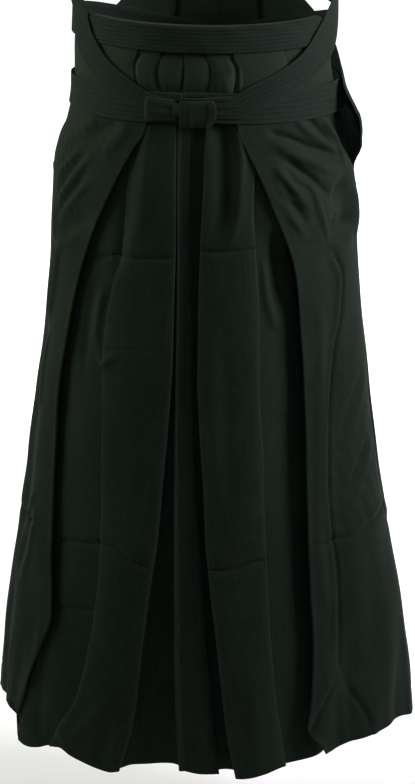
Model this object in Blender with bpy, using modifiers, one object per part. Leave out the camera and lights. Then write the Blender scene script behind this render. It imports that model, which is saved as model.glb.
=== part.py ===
"""Hakama: pleated divided trousers, filled out as worn, open at the waist, the side slits and both hems.

Every panel is a sheet laid on a ring of the body's general width and depth. A place on the garment is told by
three numbers: the distance round the ring from the front centre (plus is to +X), the depth inwards from the
ring, and the height from the top edge of the front band. The front faces -Y, and the origin is the centre of
the waist opening. Pleats are folds that stack cloth in plies, and the ply pitch opens towards the hem.
"""
import math
from collections import namedtuple

import bpy
import numpy as np

# ---- driving sizes, in metres
CLOTH = 0.0010            # wall of a panel
STRAP = 0.0016            # wall of a tie
BAND_WALL = 0.0012
BOARD = 0.0040            # stiff back board
SEAM = 0.0003             # gap between sewn pieces
LAID = 0.0006             # gap between pieces that lie on each other
BAND_TOP = 0.0034
BAND_FOOT = -0.0260
BAND_LEFT, BAND_RIGHT = -0.665, 0.800     # ends of the front band, in quarter turns round the ring
CROTCH = -0.500
HEM = -0.900
SLIT_FOOT = -0.187        # where front and back panels are sewn together
COLLECTION = "hakama"

# ---- the ring of the garment at each height
Ring = namedtuple("Ring", "height half_width front_depth back_depth ply")
RINGS = (
    Ring(0.085, 0.150, 0.118, 0.106, 0.0014),
    Ring(0.000, 0.152, 0.121, 0.110, 0.0014),
    Ring(-0.050, 0.156, 0.125, 0.115, 0.0015),
    Ring(-0.100, 0.163, 0.130, 0.122, 0.0017),
    Ring(-0.150, 0.174, 0.138, 0.131, 0.0019),
    Ring(-0.200, 0.181, 0.144, 0.140, 0.0021),
    Ring(-0.300, 0.186, 0.147, 0.147, 0.0024),
    Ring(-0.400, 0.196, 0.153, 0.153, 0.0026),
    Ring(-0.500, 0.209, 0.161, 0.162, 0.0028),
    Ring(-0.600, 0.223, 0.171, 0.173, 0.0030),
    Ring(-0.700, 0.240, 0.184, 0.186, 0.0032),
    Ring(-0.800, 0.254, 0.194, 0.197, 0.0034),
    Ring(-0.910, 0.262, 0.200, 0.204, 0.0036),
)

# ---- where each folded edge of the front lies, round the ring from the front centre, at eight heights
FOLD_HEIGHTS = (0.000, -0.114, -0.200, -0.310, -0.500, -0.700, -0.800, -0.900)
Fold = namedtuple("Fold", "waist knot hip thigh knee calf ankle hem")
FOLDS = {
    "side_left": Fold(-0.060, -0.045, -0.095, -0.143, -0.181, -0.178, -0.203, -0.248),
    "front_left": Fold(-0.074, -0.064, -0.074, -0.092, -0.106, -0.110, -0.131, -0.186),
    "inner_left": Fold(-0.030, -0.010, -0.009, -0.011, -0.019, -0.040, -0.052, -0.076),
    "middle": Fold(-0.003, -0.0082, -0.0072, -0.008, -0.009, -0.006, -0.002, 0.002),
    "inner_right": Fold(0.024, 0.025, 0.024, 0.019, 0.024, 0.043, 0.056, 0.074),
    "front_right": Fold(0.068, 0.074, 0.084, 0.090, 0.099, 0.112, 0.121, 0.138),
    "side_right": Fold(0.054, 0.062, 0.103, 0.139, 0.152, 0.164, 0.166, 0.192),
    "back": Fold(0.018, 0.024, 0.030, 0.038, 0.052, 0.068, 0.078, 0.088),
}
# width of cloth folded under each of those edges
TUCKS = {
    "side": Fold(0.028, 0.030, 0.034, 0.036, 0.040, 0.044, 0.046, 0.048),
    "front": Fold(0.014, 0.016, 0.020, 0.024, 0.028, 0.032, 0.034, 0.036),
    "inner": Fold(0.013, 0.016, 0.020, 0.024, 0.028, 0.034, 0.038, 0.040),
    "middle": Fold(0.012, 0.012, 0.014, 0.016, 0.022, 0.028, 0.032, 0.034),
    "back": Fold(0.030, 0.032, 0.036, 0.040, 0.046, 0.052, 0.056, 0.060),
}

# how deep, in plies, the sunk strips beside the side panels lie at their outer edge
SINKS = {
    "side_left": Fold(4.0, 4.0, 4.3, 4.3, 4.0, 3.2, 2.5, 2.0),
    "side_right": Fold(4.0, 4.0, 2.0, 8.8, 8.2, 7.6, 7.3, 7.0),
}

# ---- the slanting edges of the side slits, in distance round the ring, and how far the back's edge stands out
Slit = namedtuple("Slit", "height front_left front_right under back_left back_right lift_left lift_right")
SLITS = (
    Slit(0.000, 0.106, 0.106, 0.196, 0.312, 0.312, 0.0, 0.0),
    Slit(-0.030, 0.118, 0.114, 0.198, 0.282, 0.275, 0.0010, 0.0020),
    Slit(-0.060, 0.150, 0.134, 0.203, 0.248, 0.236, 0.0010, 0.0030),
    Slit(-0.083, 0.182, 0.152, 0.210, 0.232, 0.203, 0.0010, 0.0130),
    Slit(-0.107, 0.208, 0.173, 0.221, 0.230, 0.199, 0.0010, 0.0280),
    Slit(-0.126, 0.219, 0.189, 0.228, 0.235, 0.204, 0.0010, 0.0300),
    Slit(-0.150, 0.231, 0.213, 0.237, 0.243, 0.222, 0.0010, 0.0195),
    Slit(-0.172, 0.243, 0.235, 0.246, 0.250, 0.243, 0.0005, 0.0075),
    Slit(-0.187, 0.252, 0.252, 0.252, 0.254, 0.254, 0.0, 0.0),
)

# ---- height of the hem round the ring
Hem = namedtuple("Hem", "round_ring height")
HEMS = (
    Hem(-0.700, -0.893),
    Hem(-0.520, -0.884),
    Hem(-0.340, -0.878),
    Hem(-0.262, -0.878),
    Hem(-0.254, -0.900),
    Hem(-0.238, -0.914),
    Hem(-0.196, -0.908),
    Hem(-0.162, -0.897),
    Hem(-0.127, -0.904),
    Hem(-0.089, -0.909),
    Hem(0.000, -0.900),
    Hem(0.060, -0.903),
    Hem(0.109, -0.897),
    Hem(0.153, -0.886),
    Hem(0.214, -0.881),
    Hem(0.309, -0.878),
    Hem(0.360, -0.888),
    Hem(0.520, -0.885),
    Hem(0.700, -0.893),
)

# ---- long soft folds of the hanging cloth: where they lie at the hip and at the hem, in quarter turns, the
# height they start at, their depth (plus is a trough, minus a ridge) and their half width in quarter turns
Drape = namedtuple("Drape", "turns_hip turns_hem start depth half_width")
DRAPES = (
    Drape(0.740, 0.590, -0.20, 0.0090, 0.055),
    Drape(0.880, 0.800, -0.30, -0.0040, 0.060),
    Drape(1.160, 1.110, -0.30, 0.0070, 0.060),
    Drape(1.330, 1.290, -0.24, -0.0060, 0.070),
    Drape(1.500, 1.450, -0.20, 0.0100, 0.060),
    Drape(1.690, 1.630, -0.28, -0.0050, 0.070),
    Drape(-0.820, -0.840, -0.26, 0.0055, 0.050),
    Drape(-1.150, -1.130, -0.34, 0.0080, 0.060),
    Drape(-1.300, -1.280, -0.22, -0.0060, 0.070),
    Drape(-1.470, -1.430, -0.26, 0.0090, 0.060),
    Drape(-1.660, -1.600, -0.20, -0.0060, 0.075),
    Drape(0.990, 0.980, -0.64, -0.0080, 0.110),
    Drape(-0.990, -0.990, -0.38, -0.0032, 0.100),
)
# the left side is drawn in under the ties, by this depth at each height, fading round the ring
Pull = namedtuple("Pull", "height depth")
WAIST_PULL = (
    Pull(0.000, 0.0),
    Pull(-0.036, 0.0005),
    Pull(-0.066, 0.0035),
    Pull(-0.100, 0.0090),
    Pull(-0.130, 0.0088),
    Pull(-0.152, 0.0030),
    Pull(-0.175, 0.0),
)
WAIST_PULL_TURNS = 0.24

PANEL_HEIGHTS = (0.000, -0.030, -0.060, -0.083, -0.107, -0.126, -0.150, -0.187, -0.250, -0.310,
                 -0.400, -0.500, -0.600, -0.700, -0.800, HEM)
UNDER_HEIGHTS = (-0.002, -0.030, -0.060, -0.083, -0.107, -0.126, -0.150, -0.170)
GUSSET_HEIGHTS = (HEM, -0.800, -0.700, -0.600, -0.530, -0.508)
DRAPE_ONSET = 0.7         # power with which a soft fold deepens from its start to the hem
UNDER_LAP = 0.014         # how far the turned-under side edge runs beneath the front edge
LEG_GAP_AT_HEM = 0.016
GUSSET_HALF_AT_RIDGE = 0.003
GUSSET_HALF_AT_HEM = 0.009
GUSSET_CLEAR = CLOTH + 3 * SEAM

# points of a row between a panel's folded edges, and how many columns or rows a piece has
ARC_STEPS = 48
SIDE_FACE_POINTS = 5
PLEAT_FACE_POINTS = 2
BACK_FACE_POINTS = 7
TURNING_POINTS = 3
FLARE_STEPS = (0.012, 0.024, 0.040, 0.060)      # distances from the slit over which the back's lift fades
FLARE_REACH = 0.028
GUSSET_COLUMNS = 7
BAND_COLUMNS = 31
BOARD_COLUMNS, BOARD_ROWS = 15, 5
BACK_BAND_COLUMNS, BACK_BAND_ROWS = 17, 3

# plies: how deep each layer lies, counted in ply pitches
TOP_PLY, SIDE_TUCK, FRONT_PLY, FRONT_TUCK, SUNK_PLY, DEEP_PLY, DEEPEST_PLY = 0, 1, 2, 3, 4, 5, 6
UNDER_PLY = 1.5
HALF_PLY = 0.5

# ---- ties: centre line in quarter turns round the ring, its height, its width and its offset outwards
Route = namedtuple("Route", "turns height width outwards")
ON_CLOTH = CLOTH / 2 + LAID + STRAP / 2
ON_BAND = ON_CLOTH + STRAP + LAID
ON_BOARD = CLOTH / 2 + LAID + BOARD + LAID + STRAP / 2
BACK_TIE_RIGHT = (
    Route(0.013, -0.0860, 0.0200, ON_BAND),
    Route(0.140, -0.0865, 0.0235, ON_BAND),
    Route(0.241, -0.0865, 0.0260, ON_BAND),
    Route(0.366, -0.0750, 0.0285, ON_BAND),
    Route(0.549, -0.0590, 0.0310, ON_BAND),
    Route(0.660, -0.0475, 0.0335, ON_BAND),
    Route(0.740, -0.0360, 0.0370, ON_BAND),
    Route(0.800, -0.0260, 0.0410, ON_BAND),
    Route(0.860, -0.0160, 0.0430, ON_BAND),
    Route(0.930, -0.0020, 0.0410, ON_BAND),
    Route(1.020, 0.0110, 0.0370, ON_BAND),
    Route(1.213, 0.0180, 0.0320, ON_BAND),
    Route(1.333, 0.0195, 0.0300, ON_BAND + 0.0010),
    Route(1.420, 0.0200, 0.0300, ON_BOARD),
    Route(1.483, 0.0200, 0.0300, ON_BOARD),
)
BACK_TIE_LEFT = (
    Route(0.013, -0.0850, 0.0185, ON_BAND),
    Route(0.130, -0.0850, 0.0190, ON_BAND),
    Route(0.200, -0.0820, 0.0205, ON_BAND),
    Route(0.260, -0.0765, 0.0230, ON_BAND),
    Route(0.356, -0.0670, 0.0260, ON_BAND),
    Route(0.486, -0.0510, 0.0295, ON_BAND),
    Route(0.560, -0.0390, 0.0330, ON_BAND),
    Route(0.625, -0.0265, 0.0355, ON_BAND),
    Route(0.665, -0.0130, 0.0365, ON_BAND),
    Route(0.705, 0.0060, 0.0350, ON_BAND),
    Route(0.760, 0.0190, 0.0330, ON_BAND),
    Route(0.850, 0.0260, 0.0320, ON_BAND),
    Route(1.000, 0.0280, 0.0310, ON_BAND),
    Route(1.213, 0.0260, 0.0310, ON_BAND),
    Route(1.333, 0.0230, 0.0300, ON_BAND + 0.0010),
    Route(1.420, 0.0200, 0.0300, ON_BOARD),
    Route(1.483, 0.0200, 0.0300, ON_BOARD),
)
# a front tie leaves the end of the band, crosses the other one inside the back and comes level to the front
FRONT_TIE = (
    Route(0.944, -0.0120, 0.0300, ON_CLOTH),
    Route(1.090, -0.0160, 0.0300, -0.0020),
    Route(1.200, -0.0210, 0.0310, -0.0060),
    Route(1.600, -0.0420, 0.0320, -0.0090),
    Route(2.000, -0.0620, 0.0320, -0.0090),
    Route(2.400, -0.0800, 0.0330, -0.0080),
    Route(2.700, -0.0880, 0.0330, -0.0060),
)
# the ties' second lap in front: the right tie ends at the front's left, and the left tie at its right
FRONT_TIE_RIGHT = (Route(BAND_RIGHT + 0.0040, -0.0115, 0.0290, ON_CLOTH),) + FRONT_TIE + (
    Route(2.850, -0.0910, 0.0340, -0.0038),
    Route(2.980, -0.0915, 0.0343, -0.0024),
    Route(3.030, -0.0918, 0.0345, -0.0003),
    Route(3.079, -0.0920, 0.0345, ON_CLOTH + 0.0003),
    Route(3.210, -0.0910, 0.0348, ON_CLOTH + 0.0006),
    Route(3.370, -0.0895, 0.0350, ON_CLOTH),
    Route(3.600, -0.0905, 0.0355, ON_CLOTH),
    Route(3.900, -0.0885, 0.0350, ON_CLOTH),
    Route(3.997, -0.0880, 0.0345, ON_CLOTH),
)
FRONT_TIE_LEFT = (Route(0.0040 - BAND_LEFT, -0.0115, 0.0290, ON_CLOTH),) + FRONT_TIE + (
    Route(2.850, -0.0910, 0.0340, -0.0036),
    Route(2.930, -0.0915, 0.0343, -0.0020),
    Route(3.010, -0.0920, 0.0345, ON_CLOTH),
    Route(3.370, -0.0905, 0.0355, ON_CLOTH),
    Route(3.600, -0.0895, 0.0350, ON_CLOTH),
    Route(3.900, -0.0870, 0.0345, ON_CLOTH),
    Route(3.997, -0.0875, 0.0345, ON_CLOTH),
)
INSIDE_BACK = -0.005      # a front tie lies further in than this where it runs inside the back
CROSSING_OFFSET = 0.0028  # how much deeper the left front tie lies there, to pass the right one
TIE_STEP = 0.030          # length of one flat of a tie, in quarter turns
TIE_ACROSS = (-1.0, -0.35, 0.35, 1.0)     # points across a tie, as shares of its half width

# ---- the knot and the back board
Pad = namedtuple("Pad", "name start end low high outwards thickness crown")
ON_TIES = ON_BAND + STRAP / 2 + LAID
PADS = (
    Pad("knot_wrap", -0.0035, 0.0360, -0.1074, -0.0780, ON_TIES, 0.0046, 0.0030),
    Pad("knot_fold", -0.0440, -0.0118, -0.1035, -0.0772, ON_TIES, 0.0040, 0.0020),
    Pad("knot_tuck", -0.0106, -0.0048, -0.0985, -0.0812, ON_TIES, 0.0046, 0.0022),
)
PAD_UP = (0.0, 0.2, 0.5, 0.8, 1.0)
PAD_RUN = (0.0, 0.25, 0.5, 0.75, 1.0)
PAD_END_FALL = 0.5        # share of its crown that a knot piece loses at its ends
BOARD_FOOT = -0.008
BOARD_HEAD = 0.078
BOARD_HALF_FOOT = 0.104
BOARD_HALF_HEAD = 0.078
BACK_BAND_LOW = 0.005
BACK_BAND_HIGH = 0.035

CLOTH_COLOUR = (0.0085, 0.0140, 0.0110, 1.0)
CLOTH_ROUGHNESS = 0.85


# ---- the ring
def ring_at(height):
    """Half width, front depth, back depth and ply pitch of the garment at a height."""
    heights = [-ring.height for ring in RINGS]
    return [np.interp(-height, heights, column) for column in list(zip(*RINGS))[1:]]


def quarter(half_width, depth):
    """Angles of a quarter ellipse and the length from its centre line up to each of them."""
    angles = np.linspace(0.0, math.pi / 2, ARC_STEPS + 1)
    steps_x = np.diff(half_width * np.sin(angles))
    steps_y = np.diff(depth * np.cos(angles))
    return angles, np.concatenate([[0.0], np.cumsum(np.hypot(steps_x, steps_y))])


def quarter_length(height):
    """Distance round the ring from the front centre to the side."""
    half_width, front_depth, _, _ = ring_at(height)
    return quarter(half_width, front_depth)[1][-1]


def half_length(height):
    """Distance round the ring from the front centre to the back centre."""
    half_width, _, back_depth, _ = ring_at(height)
    return quarter_length(height) + quarter(half_width, back_depth)[1][-1]


def turn(turns, height):
    """Signed distance round the ring at a number of quarter turns from the front centre, up to four."""
    front, whole = quarter_length(height), half_length(height)
    if turns > 2:
        return -turn(4 - turns, height)
    return turns * front if turns <= 1 else front + (turns - 1) * (whole - front)


def drape(turns, height):
    """How far the soft folds push the cloth inwards at a number of quarter turns and a height."""
    push = 0.0
    for fold in DRAPES:
        share = min(max((fold.start - height) / (fold.start - HEM), 0.0), 1.0)
        centre = fold.turns_hip + share * (fold.turns_hem - fold.turns_hip)
        away = ((turns - centre + 2) % 4 - 2) / fold.half_width
        push += fold.depth * share ** DRAPE_ONSET * math.exp(-away * away)
    drops = [-pull.height for pull in WAIST_PULL]
    pulled = float(np.interp(-height, drops, [pull.depth for pull in WAIST_PULL]))
    return push + pulled * math.exp(-((turns + 1.0) / WAIST_PULL_TURNS) ** 2)


def place(round_ring, inwards, height):
    """The point at a distance round the ring, a depth inwards from it and a height."""
    half_width, front_depth, back_depth, _ = ring_at(height)
    whole = 2 * half_length(height)
    signed = (round_ring + whole / 2) % whole - whole / 2
    side, distance = (1.0 if signed >= 0 else -1.0), abs(signed)
    front_quarter = quarter_length(height)
    if distance <= front_quarter:
        angles, lengths = quarter(half_width, front_depth)
        angle, depth = np.interp(distance, lengths, angles), front_depth
        turns = distance / front_quarter
    else:
        angles, lengths = quarter(half_width, back_depth)
        angle, depth = math.pi - np.interp(whole / 2 - distance, lengths, angles), back_depth
        turns = 1 + (distance - front_quarter) / (whole / 2 - front_quarter)
    inwards += drape(side * turns, height)
    normal = np.array([math.sin(angle) / half_width, -math.cos(angle) / depth])
    normal /= np.linalg.norm(normal)
    x = half_width * math.sin(angle) - inwards * normal[0]
    y = -depth * math.cos(angle) - inwards * normal[1]
    return (side * x, y, height)


def side_name(side):
    return "right" if side > 0 else "left"


def fold_at(table, name, height):
    """Where a folded edge lies, or how wide a tuck is, at a height."""
    drops = [-fold_height for fold_height in FOLD_HEIGHTS]
    return float(np.interp(-height, drops, table[name]))


def slit_at(column, height):
    """One column of the slit table at a height."""
    drops = [-slit.height for slit in SLITS]
    return float(np.interp(-height, drops, [getattr(slit, column) for slit in SLITS]))


def hem_at(round_ring):
    """Height of the hem at a distance round the ring."""
    return float(np.interp(round_ring, [hem.round_ring for hem in HEMS], [hem.height for hem in HEMS]))


def between(start, end, count):
    """Evenly spaced values strictly between two ends."""
    return [start + (end - start) * step / (count + 1) for step in range(1, count + 1)]


def lay(path, height):
    """Points of one row of a panel: a path of (distance, plies) at a height, which the hem table bends."""
    ply = ring_at(height)[3]
    row = []
    for round_ring, plies in path:
        row_height = hem_at(round_ring) if height == HEM else height
        row.append(place(round_ring, plies * ply, row_height))
    return row


# ---- paths of the panels at a height, each from its outer edge to the centre
def side_seam(height, side):
    """Where a front panel's edge meets the back panel."""
    return side * (quarter_length(height) - SEAM / 2)


def side_panel_path(height, side, name):
    """From the slit or the side seam to the long pleat, then back under its edge."""
    edge = side * slit_at("front_" + side_name(side), height) if height > SLIT_FOOT else side_seam(height, side)
    fold = fold_at(FOLDS, name, height)
    tuck = fold + side * fold_at(TUCKS, "side", height)
    face = [(distance, TOP_PLY) for distance in between(edge, fold, SIDE_FACE_POINTS)]
    under = [(distance, SIDE_TUCK) for distance in between(fold, tuck, 1)]
    return ([(edge, TOP_PLY)] + face + [(fold, TOP_PLY), (fold, SIDE_TUCK)] + under + [(tuck, SIDE_TUCK)])


def pleat_path(height, side, side_fold, front_fold, inner_fold):
    """The sunk strip beside the side panel, then the top strip with an edge folded under on both sides."""
    outer = fold_at(FOLDS, side_fold, height) + side * (fold_at(TUCKS, "side", height) + SEAM + CLOTH / 2)
    front = fold_at(FOLDS, front_fold, height)
    front_under = front - side * fold_at(TUCKS, "front", height)
    inner = fold_at(FOLDS, inner_fold, height)
    inner_under = inner + side * fold_at(TUCKS, "inner", height)
    sink = fold_at(SINKS, side_fold, height)
    depths = between(sink, SUNK_PLY, PLEAT_FACE_POINTS)
    sunk = list(zip(between(outer, front_under, PLEAT_FACE_POINTS), depths))
    top = [(distance, FRONT_PLY) for distance in between(front, inner, PLEAT_FACE_POINTS)]
    return ([(outer, SIDE_TUCK), (outer, sink)] + sunk
            + [(front_under, SUNK_PLY), (front_under, FRONT_TUCK), (front, FRONT_TUCK), (front, FRONT_PLY)]
            + top + [(inner, FRONT_PLY), (inner, FRONT_TUCK), (inner_under, FRONT_TUCK)])


def leg_gap(height):
    """Gap between the two legs' front panels: a seam above the crotch, open below it."""
    share = max(0.0, (CROTCH - height) / (CROTCH - HEM))
    return SEAM + share * LEG_GAP_AT_HEM


def left_centre_path(height):
    """The left pleat strips, then the deep layer that runs under the middle fold to the centre seam."""
    path = pleat_path(height, -1, "side_left", "front_left", "inner_left")
    start = path[-1][0]
    end = fold_at(FOLDS, "middle", height) + fold_at(TUCKS, "middle", height)
    return path + [(start, DEEP_PLY), ((start + end) / 2, DEEP_PLY + HALF_PLY), (end, DEEPEST_PLY)]


def right_centre_path(height):
    """The right pleat strips, then the middle fold, which covers the centre seam."""
    path = pleat_path(height, 1, "side_right", "front_right", "inner_right")
    start = path[-1][0]
    middle = fold_at(FOLDS, "middle", height)
    end = middle + fold_at(TUCKS, "middle", height) + leg_gap(height) + CLOTH / 2
    return path + [(start, DEEP_PLY), ((start + middle) / 2, SUNK_PLY), (middle, FRONT_TUCK),
                   (middle, SUNK_PLY), (end, DEEP_PLY), (end, DEEPEST_PLY)]


def back_panel_path(height, side):
    """From the slit or the side seam round to the pleat, then under it to the centre seam or leg gap."""
    if height > SLIT_FOOT:
        edge = slit_at("back_" + side_name(side), height)
        lift = slit_at("lift_" + side_name(side), height) / ring_at(height)[3]
    else:
        edge, lift = quarter_length(height) + SEAM / 2, 0.0
    centre = half_length(height)
    fold = centre - fold_at(FOLDS, "back", height)
    tuck = fold - fold_at(TUCKS, "back", height)
    end = centre - leg_gap(height) / 2
    near = [edge + away for away in FLARE_STEPS]
    face = near + between(near[-1], fold, BACK_FACE_POINTS)
    lifts = [-lift * math.exp(-((distance - edge) / FLARE_REACH) ** 2) for distance in face]
    path = [(edge, -lift)] + list(zip(face, lifts))
    path += [(fold, TOP_PLY), (fold, SIDE_TUCK), ((fold + tuck) / 2, SIDE_TUCK), (tuck, SIDE_TUCK),
             (tuck, FRONT_PLY)]
    path += [((tuck + end) / 2, FRONT_PLY), (end, FRONT_PLY)]
    return [(side * distance, plies) for distance, plies in path]


def under_panel_path(height, side):
    """The turned-under side edge of the front, a triangle that shows between the front edge and the slit."""
    inner = slit_at("front_" + side_name(side), height) - UNDER_LAP
    outer = slit_at("under", height)
    path = [inner] + between(inner, outer, TURNING_POINTS) + [outer]
    return [(side * distance, UNDER_PLY) for distance in path]


# ---- making the objects
def make_material(name):
    material = bpy.data.materials.new(name)
    material.use_nodes = True
    shader = material.node_tree.nodes["Principled BSDF"]
    shader.inputs["Base Color"].default_value = CLOTH_COLOUR
    shader.inputs["Roughness"].default_value = CLOTH_ROUGHNESS
    shader.inputs["Metallic"].default_value = 0.0
    return material


def make_sheet(name, rows, wall, collection):
    """One piece: the faces between rows of points, thickened evenly to both sides."""
    width = len(rows[0])
    points = [point for row in rows for point in row]
    faces = [(r * width + c, r * width + c + 1, (r + 1) * width + c + 1, (r + 1) * width + c)
             for r in range(len(rows) - 1) for c in range(width - 1)]
    mesh = bpy.data.meshes.new(name)
    mesh.from_pydata(points, [], faces)
    mesh.materials.append(make_material(name + "_cloth"))
    piece = bpy.data.objects.new(name, mesh)
    collection.objects.link(piece)
    thicken = piece.modifiers.new("wall", "SOLIDIFY")
    thicken.thickness = wall
    thicken.offset = 0.0
    thicken.use_even_offset = True
    return piece


def make_panels(collection):
    """Front side, front centre and back panels of both legs, and the turned-under side edges."""
    panels = {
        "front_left_side_panel": lambda height: side_panel_path(height, -1, "side_left"),
        "front_right_side_panel": lambda height: side_panel_path(height, 1, "side_right"),
        "front_left_centre_panel": left_centre_path,
        "front_right_centre_panel": right_centre_path,
        "back_left_panel": lambda height: back_panel_path(height, -1),
        "back_right_panel": lambda height: back_panel_path(height, 1),
    }
    for name, path_at in panels.items():
        make_sheet(name, [lay(path_at(height), height) for height in PANEL_HEIGHTS], CLOTH, collection)
    for name, side in (("side_turning_left", -1), ("side_turning_right", 1)):
        rows = [lay(under_panel_path(height, side), height) for height in UNDER_HEIGHTS]
        make_sheet(name, rows, CLOTH, collection)


def make_gusset(collection):
    """The wall between the legs: up the left leg, over the crotch and down the right leg."""
    columns = []
    for column in range(GUSSET_COLUMNS):
        share = column / (GUSSET_COLUMNS - 1)
        walls = []
        for height in GUSSET_HEIGHTS:
            ply = ring_at(height)[3]
            slit = fold_at(FOLDS, "middle", height) + fold_at(TUCKS, "middle", height) + leg_gap(height) / 2
            front = place(slit, DEEPEST_PLY * ply + GUSSET_CLEAR, height)
            back = place(half_length(height), FRONT_PLY * ply + GUSSET_CLEAR, height)
            drop = (GUSSET_HEIGHTS[-1] - height) / (GUSSET_HEIGHTS[-1] - GUSSET_HEIGHTS[0])
            half = GUSSET_HALF_AT_RIDGE + drop * (GUSSET_HALF_AT_HEM - GUSSET_HALF_AT_RIDGE)
            x = front[0] + share * (back[0] - front[0])
            y = front[1] + share * (back[1] - front[1])
            walls.append((x, y, height, half))
        left = [(x - half, y, z) for x, y, z, half in walls]
        right = [(x + half, y, z) for x, y, z, half in reversed(walls)]
        ridge_x, ridge_y, _, _ = walls[-1]
        columns.append(left + [(ridge_x, ridge_y, CROTCH)] + right)
    make_sheet("crotch_gusset", columns, CLOTH, collection)


def make_waistband(collection):
    """The front band, folded over the top of the pleats: outer face, top edge and inner face."""
    rows = []
    outer = -(CLOTH / 2 + LAID + BAND_WALL / 2)
    inner = DEEPEST_PLY * ring_at(BAND_FOOT)[3] + CLOTH / 2 + 2 * LAID + BAND_WALL / 2
    section = [(outer, BAND_FOOT), (outer, BAND_TOP), (inner, BAND_TOP), (inner, BAND_FOOT)]
    for turns in np.linspace(BAND_LEFT, BAND_RIGHT, BAND_COLUMNS):
        rows.append([place(turns * quarter_length(height), inwards, height) for inwards, height in section])
    make_sheet("front_waistband", rows, BAND_WALL, collection)


def along(route):
    """Short even steps along a route."""
    knots = np.array(route)
    count = math.ceil((knots[-1, 0] - knots[0, 0]) / TIE_STEP)
    steps = np.linspace(knots[0, 0], knots[-1, 0], count + 1)
    columns = [np.interp(steps, knots[:, 0], column) for column in knots.T]
    return [Route(*values) for values in zip(*columns)]


def make_tie(name, route, side, collection):
    """A flat strap whose width lies across its own direction on the garment."""
    steps = along(route)
    rows = []
    for index, here in enumerate(steps):
        before = steps[max(index - 1, 0)]
        after = steps[min(index + 1, len(steps) - 1)]
        run = (after.turns - before.turns) * quarter_length(here.height)
        rise = after.height - before.height
        half_share = here.width / 2 / math.hypot(run, rise)
        row = []
        for across in TIE_ACROSS:
            share = across * half_share
            height = here.height + share * run
            distance = turn(here.turns, height) - share * rise
            row.append(place(side * distance, -here.outwards, height))
        rows.append(row)
    make_sheet(name, rows, STRAP, collection)


def make_ties(collection):
    """The two ties of the back, then the two of the front, which cross inside the back."""
    inner_route = []
    for row in FRONT_TIE_LEFT:
        deeper = CROSSING_OFFSET if row.outwards < INSIDE_BACK else 0.0
        inner_route.append(row._replace(outwards=row.outwards - deeper))
    make_tie("back_tie_right", BACK_TIE_RIGHT, 1, collection)
    make_tie("back_tie_left", BACK_TIE_LEFT, -1, collection)
    make_tie("front_tie_right", FRONT_TIE_RIGHT, 1, collection)
    make_tie("front_tie_left", inner_route, -1, collection)


def make_pads(collection):
    """The knot: flat folded pieces, crowned outwards, that lie on the ties."""
    for pad in PADS:
        rows = []
        for up in PAD_UP:
            height = pad.low + up * (pad.high - pad.low)
            row = []
            for run in PAD_RUN:
                round_ring = pad.start + run * (pad.end - pad.start)
                bulge = pad.crown * (1 - (2 * up - 1) ** 2) * (1 - PAD_END_FALL * (2 * run - 1) ** 2)
                row.append(place(round_ring, -(pad.outwards + pad.thickness / 2 + bulge), height))
            rows.append(row)
        make_sheet(pad.name, rows, pad.thickness, collection)


def make_back_board(collection):
    """The stiff board above the back pleats, with the back band along its foot."""
    outwards = CLOTH / 2 + LAID + BOARD / 2
    rows = []
    for up in np.linspace(0, 1, BOARD_ROWS):
        height = BOARD_FOOT + up * (BOARD_HEAD - BOARD_FOOT)
        half = BOARD_HALF_FOOT + up * (BOARD_HALF_HEAD - BOARD_HALF_FOOT)
        rows.append([place(half_length(height) + half * share, -outwards, height)
                     for share in np.linspace(-1, 1, BOARD_COLUMNS)])
    make_sheet("back_board", rows, BOARD, collection)
    rows = []
    for height in np.linspace(BACK_BAND_LOW, BACK_BAND_HIGH, BACK_BAND_ROWS):
        centre = half_length(height)
        half = centre - turn(BACK_TIE_RIGHT[-1].turns, height) - 2 * SEAM
        rows.append([place(centre + half * share, -ON_BOARD, height)
                     for share in np.linspace(-1, 1, BACK_BAND_COLUMNS)])
    make_sheet("back_waistband", rows, STRAP, collection)


def main():
    for old in list(bpy.data.objects):
        bpy.data.objects.remove(old, do_unlink=True)
    collection = bpy.data.collections.new(COLLECTION)
    bpy.context.scene.collection.children.link(collection)
    make_panels(collection)
    make_gusset(collection)
    make_waistband(collection)
    make_ties(collection)
    make_pads(collection)
    make_back_board(collection)


main()
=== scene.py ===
import math
from collections import namedtuple
from functools import partial

import bmesh
import bpy
import numpy as np
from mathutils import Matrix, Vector


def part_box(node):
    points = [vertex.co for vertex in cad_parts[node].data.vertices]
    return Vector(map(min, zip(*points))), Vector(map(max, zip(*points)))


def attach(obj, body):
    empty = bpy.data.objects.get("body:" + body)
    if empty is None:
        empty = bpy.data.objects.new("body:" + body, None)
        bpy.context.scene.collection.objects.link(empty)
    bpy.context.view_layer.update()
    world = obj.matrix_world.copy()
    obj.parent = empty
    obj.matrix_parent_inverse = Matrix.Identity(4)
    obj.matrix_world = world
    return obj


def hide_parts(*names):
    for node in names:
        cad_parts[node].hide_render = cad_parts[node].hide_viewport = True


# Hakama trousers in a dark cloth, filled out as worn and tied at the front.
#
# A place on the garment is told by the distance round a ring from the front centre (plus is to +X), the
# depth inwards from the ring, and the height from the panels' top edge. Panels are thin shells of cloth laid
# on that ring; their pleats stack in plies whose pitch opens towards the hem. All sizes are in metres.

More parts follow.
